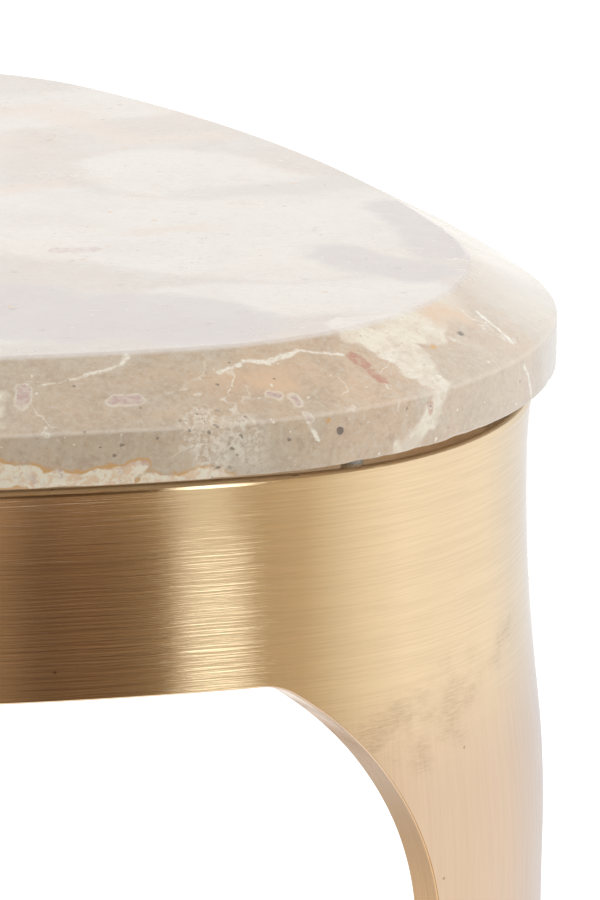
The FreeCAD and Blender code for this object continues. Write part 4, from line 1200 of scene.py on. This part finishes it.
def close_sole(shell, form, spread):
    """The flat sole of the leg, with its edges eased."""
    wall, steps = form.sizes.wall, form.edge_steps()

    def foot(depth, back):
        """Turn, offset and height of the leg's edge at its foot."""
        across, height = form.arch(back)[0, :2]
        offset = form.face(height, 0.0)[0] - depth
        return form.edge_turn(across, offset), offset, height

    loop = []
    for depth, back, _, _ in steps:
        edge, offset, height = foot(depth, back)
        if depth == 0.0:
            turns = form.leg_turns(edge, offset, spread)
        elif depth == wall:
            turns = form.leg_turns(edge, offset, spread[::-1])
        else:
            turns = np.array([edge])
        loop += wall_points(form, turns, offset, height).tolist()
    for depth, back, _, _ in reversed(steps[1:-1]):
        edge, offset, height = foot(depth, back)
        loop.append(wall_points(form, -edge, offset, height).tolist())
    ring = np.array(loop)
    inward = unit((ring.mean(axis=0) - ring) * (1.0, 1.0, 0.0))
    sole = ring + inward * form.sizes.edge_round
    sole[:, 2] = FOOT
    index = shell.take(np.array([ring, sole]), np.array([-inward, np.broadcast_to(-UP, sole.shape)]),
                       np.array([ring[:, :2], sole[:, :2]]), np.array([0.0, 1.0, 0.0]), 0.0)
    for k in range(len(ring)):
        shell.faces.append([index[0, k - 1], index[0, k], index[1, k], index[1, k - 1]])
    shell.faces.append(index[1].tolist())


def bracket_seat(shell, form, mirror):
    """Flat block inside the apron at a seam, that the bracket is screwed to."""
    sizes = form.sizes
    face = sizes.side_reach - sizes.wall - sizes.seat_depth
    low = np.array([face, -sizes.seat_length, RIM - sizes.seat_drop - sizes.seat_height])
    high = np.array([face + sizes.seat_depth + sizes.wall / 2, -sizes.seam_round, RIM - sizes.seat_drop])
    basis = np.array([ray(np.array(SIXTH)), across_ray(np.array(SIXTH)), UP]) * mirror
    points = {}
    for corner in np.ndindex(2, 2, 2):
        spot = np.where(corner, high, low)
        inwards = np.where(corner, -SEAT_EASE, SEAT_EASE)
        for axis in range(3):
            moved = spot + np.where(np.arange(3) == axis, 0.0, inwards)
            normal = np.where(np.arange(3) == axis, np.sign(-inwards), 0.0)
            points[(*corner, axis)] = shell.take((moved @ basis)[None], (normal @ basis)[None],
                                                 moved[None, 1:], basis[1][None], 0.0)[0]

    def beside(axis, end, spot, face):
        """The point of a face beside the corner at this end of an axis."""
        corner = list(spot)
        corner.insert(axis, end)
        return points[(*corner, face)]

    square = ((0, 0), (1, 0), (1, 1), (0, 1))
    for axis in range(3):
        shell.faces += [[beside(axis, end, spot, axis) for spot in square] for end in (0, 1)]
        a, b = [k for k in range(3) if k != axis]
        ways = ((0, a), (0, b), (1, b), (1, a))
        shell.faces += [[beside(axis, end, spot, face) for end, face in ways] for spot in square]
    for corner in np.ndindex(2, 2, 2):
        shell.faces.append([points[(*corner, axis)] for axis in range(3)])


def outward(mesh):
    """Turns every face of a closed mesh outwards, keeping the normals that were given."""
    count = np.zeros(len(mesh.vertices))
    corner = np.zeros(len(mesh.loops) * 3, np.float32)
    mesh.corner_normals.foreach_get("vector", corner)
    owner = np.zeros(len(mesh.loops), np.int32)
    mesh.loops.foreach_get("vertex_index", owner)
    vectors = np.zeros((len(mesh.vertices), 3))
    np.add.at(vectors, owner, corner.reshape(-1, 3))
    np.add.at(count, owner, 1)
    bm = bmesh.new()
    bm.from_mesh(mesh)
    bmesh.ops.recalc_face_normals(bm, faces=bm.faces)
    bm.to_mesh(mesh)
    bm.free()
    mesh.normals_split_custom_set_from_vertices((vectors / np.maximum(count, 1)[:, None]).tolist())
    mesh.update()


class SIDETABLE_OT_leg_castings(bpy.types.Operator):
    """Builds the three alike brass castings, each a leg with half an apron to either side"""
    bl_idname = "sidetable.leg_castings"
    bl_label = "Leg Castings"

    def execute(self, context):
        shell = casting_shell(settings().casting_sizes)
        brass = brass_material()
        for corner, degrees in CORNERS.items():
            mesh = shell.mesh(f"brass_leg_{corner}", degrees)
            outward(mesh)
            piece = new_piece(f"brass_leg_{corner}", mesh, brass)
            seat_piece(piece, "brass", f"leg_casting_{corner}")
        return {"FINISHED"}


class SIDETABLE_OT_fixings(bpy.types.Operator):
    """Gives the brackets, washers, sleeves, pads and glides their finishes"""
    bl_idname = "sidetable.fixings"
    bl_label = "Brackets, Sleeves and Pads"

    def execute(self, context):
        zinc = plated_material("zinc_plate", *ZINC_PLATE)
        turned_brass = plated_material("turned_brass", *TURNED_BRASS)
        nylon = moulded_material("black_nylon", *BLACK_NYLON)
        clear = moulded_material("clear_pad", *CLEAR_PAD)
        finishes = {"splice_bracket": zinc, "splice_screws": zinc, "top_": zinc, "glide_screws": zinc,
                    "stone_inserts": turned_brass, "bumper_pads": clear, "foot_glide": nylon}
        for name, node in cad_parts.items():
            for start, material in finishes.items():
                if name.startswith(start):
                    node.data.materials.clear()
                    node.data.materials.append(material)
        return {"FINISHED"}


SCREW_INPUTS = ("Head", "Head Height", "Neck", "Socket", "Shank", "Length", "Pitch")
# Sides of a turned part, of a core and of a thread's ridge, and the thread's steps in a turn.
TURNED_SIDES, CORE_SIDES, RIDGE_SIDES, THREAD_STEPS = 48, 32, 4, 24
# Shares: a head's outer end of its width, a hexagon's corner radius of its width, and how far out the drill
# for the socket is set, of the head's height.
HEAD_END, HEX_CORNER, DRILL_SET = 0.94, 0.577, 1.45
# Shares of the shank's width: radii of the core, the tip's end and the thread, and the radius of its ridge.
CORE, TIP_END, THREAD, RIDGE = 0.43, 0.28, 0.44, 0.055
# Shares of the length: core, tip, the thread's start and its climb.
CORE_REACH, TIP_REACH, THREAD_START, THREAD_CLIMB = 0.90, 0.10, 0.03, 0.86
# Edges with a greater angle than this, in radians, stay sharp.
SHARP_EDGE = 0.6
# Thread pitches, and the socket as a share of a round and of a countersunk head.
JOINT_THREAD, TOP_THREAD, GLIDE_THREAD = 0.0008, 0.001, 0.0014
ROUND_SOCKET, SUNK_SOCKET = 0.55, 0.36


def screw_tree():
    """Geometry nodes: a turned screw with a hexagon socket and a thread, set on every point as it faces."""
    tree = bpy.data.node_groups.new("turned_screws", "GeometryNodeTree")
    tree.interface.new_socket("Geometry", in_out="INPUT", socket_type="NodeSocketGeometry")
    for name in SCREW_INPUTS:
        socket = tree.interface.new_socket(name, in_out="INPUT", socket_type="NodeSocketFloat")
        socket.subtype = "DISTANCE"
    tree.interface.new_socket("Material", in_out="INPUT", socket_type="NodeSocketMaterial")
    tree.interface.new_socket("Geometry", in_out="OUTPUT", socket_type="NodeSocketGeometry")
    n = Nodes(tree)
    given = n.add("NodeGroupInput").outputs
    head, head_height, neck, socket, shank, reach, pitch = [given[name] for name in SCREW_INPUTS]

    def turned_cone(sides, low, high, depth):
        return n.add("GeometryNodeMeshCone", {"Vertices": sides, "Radius Bottom": low, "Radius Top": high,
                                              "Depth": depth}).outputs["Mesh"]

    def raised(mesh, height):
        place = n.out("ShaderNodeCombineXYZ", {2: height})
        return n.out("GeometryNodeTransform", {"Geometry": mesh, "Translation": place})

    cap = raised(turned_cone(TURNED_SIDES, n.times(head, HEAD_END / 2), n.times(neck, 0.5), head_height),
                 n.times(head_height, -1.0))
    drill = raised(turned_cone(6, n.times(socket, HEX_CORNER), n.times(socket, HEX_CORNER), head_height),
                   n.times(head_height, -DRILL_SET))
    bored = n.out("GeometryNodeMeshBoolean", {"Mesh 1": cap, "Mesh 2": drill}, operation="DIFFERENCE")
    core = turned_cone(CORE_SIDES, n.times(shank, CORE), n.times(shank, CORE), n.times(reach, CORE_REACH))
    tip = raised(turned_cone(CORE_SIDES, n.times(shank, CORE), n.times(shank, TIP_END),
                             n.times(reach, TIP_REACH)), n.times(reach, CORE_REACH))
    climb = n.times(reach, THREAD_CLIMB)
    helix = n.out("GeometryNodeCurveSpiral", {"Resolution": THREAD_STEPS,
                                              "Rotations": n.math("DIVIDE", climb, pitch),
                                              "Start Radius": n.times(shank, THREAD),
                                              "End Radius": n.times(shank, THREAD), "Height": climb})
    ridge = n.out("GeometryNodeCurvePrimitiveCircle", {"Resolution": RIDGE_SIDES,
                                                       "Radius": n.times(shank, RIDGE)})
    thread = n.out("GeometryNodeCurveToMesh", {"Curve": helix, "Profile Curve": ridge,
                                               "Fill Caps": True})
    thread = raised(thread, n.times(reach, THREAD_START))
    whole = n.add("GeometryNodeJoinGeometry")
    for mesh in (bored, core, tip, thread):
        tree.links.new(mesh, whole.inputs[0])
    sharp = n.math("GREATER_THAN", n.out("GeometryNodeInputMeshEdgeAngle"), SHARP_EDGE)
    smooth = n.out("GeometryNodeSetShadeSmooth", {"Geometry": whole.outputs[0], "Shade Smooth": True},
                   domain="FACE")
    crisp = n.out("GeometryNodeSetShadeSmooth", {"Geometry": smooth, "Selection": sharp,
                                                 "Shade Smooth": False}, domain="EDGE")
    facing = n.out("GeometryNodeInputNamedAttribute", {"Name": "facing"}, data_type="FLOAT_VECTOR")
    aim = n.out("FunctionNodeAlignRotationToVector", {"Vector": facing}, axis="Z")
    placed_screws = n.out("GeometryNodeInstanceOnPoints", {"Points": given["Geometry"],
                                                           "Instance": crisp,
                                                           "Rotation": aim})
    real = n.out("GeometryNodeRealizeInstances", {0: placed_screws})
    dressed = n.out("GeometryNodeSetMaterial", {"Geometry": real, "Material": given["Material"]})
    n.add("NodeGroupOutput", {0: dressed})
    return tree


def screws(name, tree, spots, sizes, material):
    """One mesh of all the screws of a kind: each spot is the seat of its head and the way that it points."""
    points = bpy.data.meshes.new(name)
    points.from_pydata([spot for spot, _ in spots], [], [])
    facing = points.attributes.new("facing", "FLOAT_VECTOR", "POINT")
    facing.data.foreach_set("vector", np.array([way for _, way in spots], np.float32).ravel())
    holder = new_piece(f"{name}_points", points, material)
    modifier = holder.modifiers.new("screws", "NODES")
    modifier.node_group = tree
    values = dict(zip(SCREW_INPUTS, sizes)) | {"Material": material}
    for item in tree.interface.items_tree:
        if item.in_out == "INPUT" and item.name in values:
            modifier[item.identifier] = values[item.name]
    solid = holder.evaluated_get(bpy.context.evaluated_depsgraph_get())
    mesh = bpy.data.meshes.new_from_object(solid)
    bpy.data.objects.remove(holder)
    mesh.name = name
    return new_piece(name, mesh, material)


class SIDETABLE_OT_screws(bpy.types.Operator):
    """Sets the screws of the brackets, the stone and the glides"""
    bl_idname = "sidetable.screws"
    bl_label = "Screws"

    def execute(self, context):
        table = settings()
        f, casting = table.fixing_sizes, table.casting_sizes
        tree = screw_tree()
        steel = plated_material("bright_zinc", *BRIGHT_ZINC)
        joint, top, glide = [], [], []
        for degrees in SIDES.values():
            out = turned((1.0, 0.0, 0.0), degrees)
            for along in (-f.joint_inset, f.joint_inset):
                for drop in (f.joint_upper, f.joint_upper + f.joint_pitch):
                    joint.append((placed((f.seat_reach, along, RIM - drop), degrees), out))
            top.append((placed((f.top_reach, 0.0, RIM - f.top_drop), degrees), UP))
        sole = Plan(casting).centre + casting.corner_radius + casting.knee_flare - casting.wall / 2
        for degrees in CORNERS.values():
            for along in (-f.glide_spread / 2, f.glide_spread / 2):
                glide.append((placed((sole, along, f.glide_depth + f.glide_head_height), degrees), UP))
        kinds = (
            ("joint_screws", joint, [f"splice_screws_{side}" for side in SIDES],
             (f.joint_head, f.joint_head_height, f.joint_head, ROUND_SOCKET * f.joint_head,
              f.joint_diameter, f.joint_length, JOINT_THREAD)),
            ("stone_screws", top, ["top_screws"],
             (f.top_head, f.top_head_height, f.top_head, ROUND_SOCKET * f.top_head,
              f.top_diameter, f.top_length, TOP_THREAD)),
            ("sole_screws", glide, [f"glide_screws_{corner}" for corner in CORNERS],
             (f.glide_head / HEAD_END, f.glide_head_height, f.glide_diameter, SUNK_SOCKET * f.glide_head,
              f.glide_diameter, f.glide_length - f.glide_head_height, GLIDE_THREAD)),
        )
        for name, spots, nodes, sizes in kinds:
            seat_piece(screws(name, tree, spots, sizes, steel), "screw_steel", *nodes)
        return {"FINISHED"}


SENSOR_WIDTH = 36.0
CLIP_START, CLIP_END = 0.05, 60.0
# Softboxes: name, place, what they point at, width, setting of their power, and whether metal mirrors them.
SOFTBOXES = (
    ("overhead_softbox", (0.1, 0.1, 2.1), (0.0, 0.0, 0.3), 2.0, "overhead", False),
    ("front_softbox", (2.7, -1.7, 1.4), (0.0, 0.0, 0.4), 2.4, "fill", False),
    ("back_softbox", (0.1, 2.6, 1.25), (0.0, 0.0, 0.5), 1.8, "backlight", True),
)
FLOOR_REACH, FLOOR_DROP, FLOOR_PAINT = 20.0, 0.0003, (0.90, 0.90, 0.90)
# The floor is lifted towards white from near the table outwards: distances, then strengths.
LIFT_REACH, LIFT_STRENGTH = (0.12, 0.70), (0.14, 0.62)
SCREEN_COLUMNS, SCREEN_FOOT = 216, 0.001
# What the brass mirrors: degrees round the table's axis, and the light from there.
SCREEN_STOPS = (
    (-215.0, (1.00, 1.00, 1.00)),
    (-180.0, (0.66, 0.56, 0.46)),
    (-120.0, (0.58, 0.46, 0.35)),
    (-95.0, (0.40, 0.30, 0.21)),
    (-80.5, (0.38, 0.27, 0.18)),
    (-78.1, (0.40, 0.27, 0.175)),
    (-76.4, (0.27, 0.175, 0.112)),
    (-74.6, (0.21, 0.137, 0.088)),
    (-72.3, (0.275, 0.168, 0.10)),
    (-69.5, (0.275, 0.178, 0.11)),
    (-67.8, (0.33, 0.23, 0.142)),
    (-66.3, (0.36, 0.255, 0.165)),
    (-62.0, (0.45, 0.37, 0.25)),
    (-57.3, (0.54, 0.435, 0.31)),
    (-55.0, (0.615, 0.515, 0.375)),
    (-51.8, (0.67, 0.57, 0.44)),
    (-46.8, (0.76, 0.69, 0.57)),
    (-38.0, (0.92, 0.87, 0.77)),
    (-24.0, (1.06, 1.04, 1.01)),
    (10.0, (1.05, 1.05, 1.06)),
    (30.0, (0.93, 0.97, 1.05)),
    (62.0, (0.88, 0.92, 1.00)),
)
# A shade at the left dims the screen, and a lamp stands beside it: degrees of their edges, then strengths by
# height.
SHADE_EDGES = (-64.0, -67.5)
SHADE_HEIGHTS = ((0.0, 1.0), (0.14, 0.98), (0.21, 0.90), (0.265, 0.78), (0.285, 0.58), (0.30, 0.46),
                 (0.36, 0.40), (1.0, 0.40))
LAMP_EDGES = (-65.0, -63.9, -60.0, -58.9)
LAMP_HEIGHTS = ((0.0, 0.25), (0.20, 0.34), (0.265, 0.08), (0.28, 0.18), (0.30, 0.95), (0.33, 1.75),
                (0.42, 2.20), (1.0, 2.20))
LAMP_TINT = (1.0, 1.10, 1.16)


class SIDETABLE_OT_stage(bpy.types.Operator):
    """Builds the camera, floor, softboxes and the screens that the brass mirrors"""
    bl_idname = "sidetable.stage"
    bl_label = "Stage"

    def execute(self, context):
        stage = settings().stage_settings
        scene = context.scene
        scene.view_settings.view_transform = "Standard"
        camera = bpy.data.cameras.new("camera")
        camera.lens, camera.sensor_width = stage.lens, SENSOR_WIDTH
        camera.clip_start, camera.clip_end = CLIP_START, CLIP_END
        view = bpy.data.objects.new("camera", camera)
        view.location = (stage.side, table_axis() - stage.back, stage.height)
        view.rotation_euler = (math.pi / 2 - stage.pitch, 0.0, 0.0)
        scene.collection.objects.link(view)
        scene.camera = view
        white_world(scene, stage.sky)
        pale_floor()
        for name, place, target, width, power, mirrored in SOFTBOXES:
            softbox(scene, name, Vector(place), Vector(target), width, getattr(stage, power), mirrored)
        reflected_screen(stage)
        return {"FINISHED"}


def background_ray(n):
    """1 for what the camera sees, directly or mirrored in metal and glass."""
    path = n.add("ShaderNodeLightPath").outputs
    return n.most(path["Is Camera Ray"], n.most(path["Is Glossy Ray"], path["Is Transmission Ray"]))


def white_world(scene, sky):
    """A white background, dimmer where it only lights."""
    world = bpy.data.worlds.new("studio")
    scene.world = world
    world.use_nodes = True
    n = Nodes(world.node_tree)
    strength = n.out("ShaderNodeMapRange", {"Value": background_ray(n), "To Min": sky, "To Max": 1.0})
    light = n.out("ShaderNodeBackground", {"Color": (1.0, 1.0, 1.0), "Strength": strength})
    n.add("ShaderNodeOutputWorld", {"Surface": light})


def pale_floor():
    """A floor that fades to the white of the background away from the table."""
    bm = bmesh.new()
    bmesh.ops.create_grid(bm, x_segments=1, y_segments=1, size=FLOOR_REACH,
                          matrix=Matrix.Translation((0, 0, -FLOOR_DROP)))
    mesh = bpy.data.meshes.new("floor")
    bm.to_mesh(mesh)
    bm.free()
    material, n = new_finish("pale_floor")
    seen = background_ray(n)
    paint = n.out("ShaderNodeBsdfDiffuse", {"Color": FLOOR_PAINT})
    away = n.measure("LENGTH", n.add("ShaderNodeTexCoord").outputs["Object"])
    lift = n.times(seen, n.ease(away, *LIFT_REACH, *LIFT_STRENGTH))
    white = n.out("ShaderNodeEmission", {"Strength": lift})
    both = n.out("ShaderNodeAddShader", {0: paint, 1: white})
    n.add("ShaderNodeOutputMaterial", {"Surface": both})
    floor = new_piece("floor", mesh, material)


def softbox(scene, name, place, target, width, power, mirrored):
    lamp = bpy.data.lights.new(name, "AREA")
    lamp.shape, lamp.size, lamp.energy = "SQUARE", width, power
    box = bpy.data.objects.new(name, lamp)
    box.location = place
    box.visible_glossy = mirrored
    box.rotation_euler = (target - place).to_track_quat("-Z", "Y").to_euler()
    scene.collection.objects.link(box)


def reflected_screen(stage):
    """A round upright screen, dark, bright and pale by turns, that only shiny surfaces see."""
    low, high = SCREEN_STOPS[0][0], SCREEN_STOPS[-1][0]
    count = SCREEN_COLUMNS
    turns = np.radians(np.linspace(low, high, count))
    ring = np.column_stack([stage.screen_radius * np.cos(turns),
                            table_axis() + stage.screen_radius * np.sin(turns)])
    points = [(x, y, z) for z in (SCREEN_FOOT, stage.screen_height) for x, y in ring]
    faces = [(i, i + 1, count + i + 1, count + i) for i in range(count - 1)]
    mesh = bpy.data.meshes.new("reflected_screen")
    mesh.from_pydata(points, [], faces)
    layer = mesh.uv_layers.new(name="along")
    for loop in mesh.loops:
        layer.data[loop.index].uv = ((loop.vertex_index % count) / (count - 1), loop.vertex_index // count)

    def part(degrees):
        return (degrees - low) / (high - low)

    material, n = new_finish("reflected_screen")
    spot = n.out("ShaderNodeUVMap", uv_map="along")
    along, up, _ = n.add("ShaderNodeSeparateXYZ", {0: spot}).outputs
    colour = n.ramp(along, [(part(degrees), light) for degrees, light in SCREEN_STOPS])
    left, left_lit, right_lit, right = [part(degrees) for degrees in LAMP_EDGES]
    lit = n.times(n.ease(along, left, left_lit), n.ease(along, right, right_lit))
    lamp = n.ramp(up, [(height, [strength * c for c in LAMP_TINT]) for height, strength in LAMP_HEIGHTS])
    fall = n.ramp(up, [(height, [strength] * 3) for height, strength in SHADE_HEIGHTS])
    shaded = n.ease(along, *(part(degrees) for degrees in SHADE_EDGES))
    colour = n.blend(shaded, colour, n.blend(1.0, colour, fall, "MULTIPLY"))
    colour = n.blend(lit, colour, n.blend(1.0, colour, lamp, "ADD"))
    light = n.out("ShaderNodeEmission", {"Color": colour, "Strength": 1.0})
    n.add("ShaderNodeOutputMaterial", {"Surface": light})
    screen = new_piece("reflected_screen", mesh, material)
    screen.visible_camera = screen.visible_diffuse = screen.visible_shadow = False
    screen.visible_transmission = False


class SIDETABLE_PT_panel(bpy.types.Panel):
    bl_idname = "SIDETABLE_PT_panel"
    bl_label = "Side Table"
    bl_space_type = "VIEW_3D"
    bl_region_type = "UI"
    bl_category = "Side Table"

    def draw(self, context):
        for operator in OPERATORS:
            self.layout.operator(operator.bl_idname)
        for name, group in GROUPS.items():
            box = self.layout.box()
            box.label(text=name.replace("_", " ").title())
            for value in group.__annotations__:
                box.prop(getattr(context.scene.side_table, name), value)


OPERATORS = (SIDETABLE_OT_stone_top, SIDETABLE_OT_leg_castings, SIDETABLE_OT_fixings, SIDETABLE_OT_screws,
             SIDETABLE_OT_stage)
CLASSES = (*GROUPS.values(), TableSettings, *OPERATORS, SIDETABLE_PT_panel)


def register():
    for entry in CLASSES:
        bpy.utils.register_class(entry)
    bpy.types.Scene.side_table = PointerProperty(type=TableSettings)


def unregister():
    del bpy.types.Scene.side_table
    for entry in reversed(CLASSES):
        bpy.utils.unregister_class(entry)


def main():
    register()
    for operator in OPERATORS:
        group, name = operator.bl_idname.split(".")
        getattr(getattr(bpy.ops, group), name)()


if __name__ == "__main__":
    main()
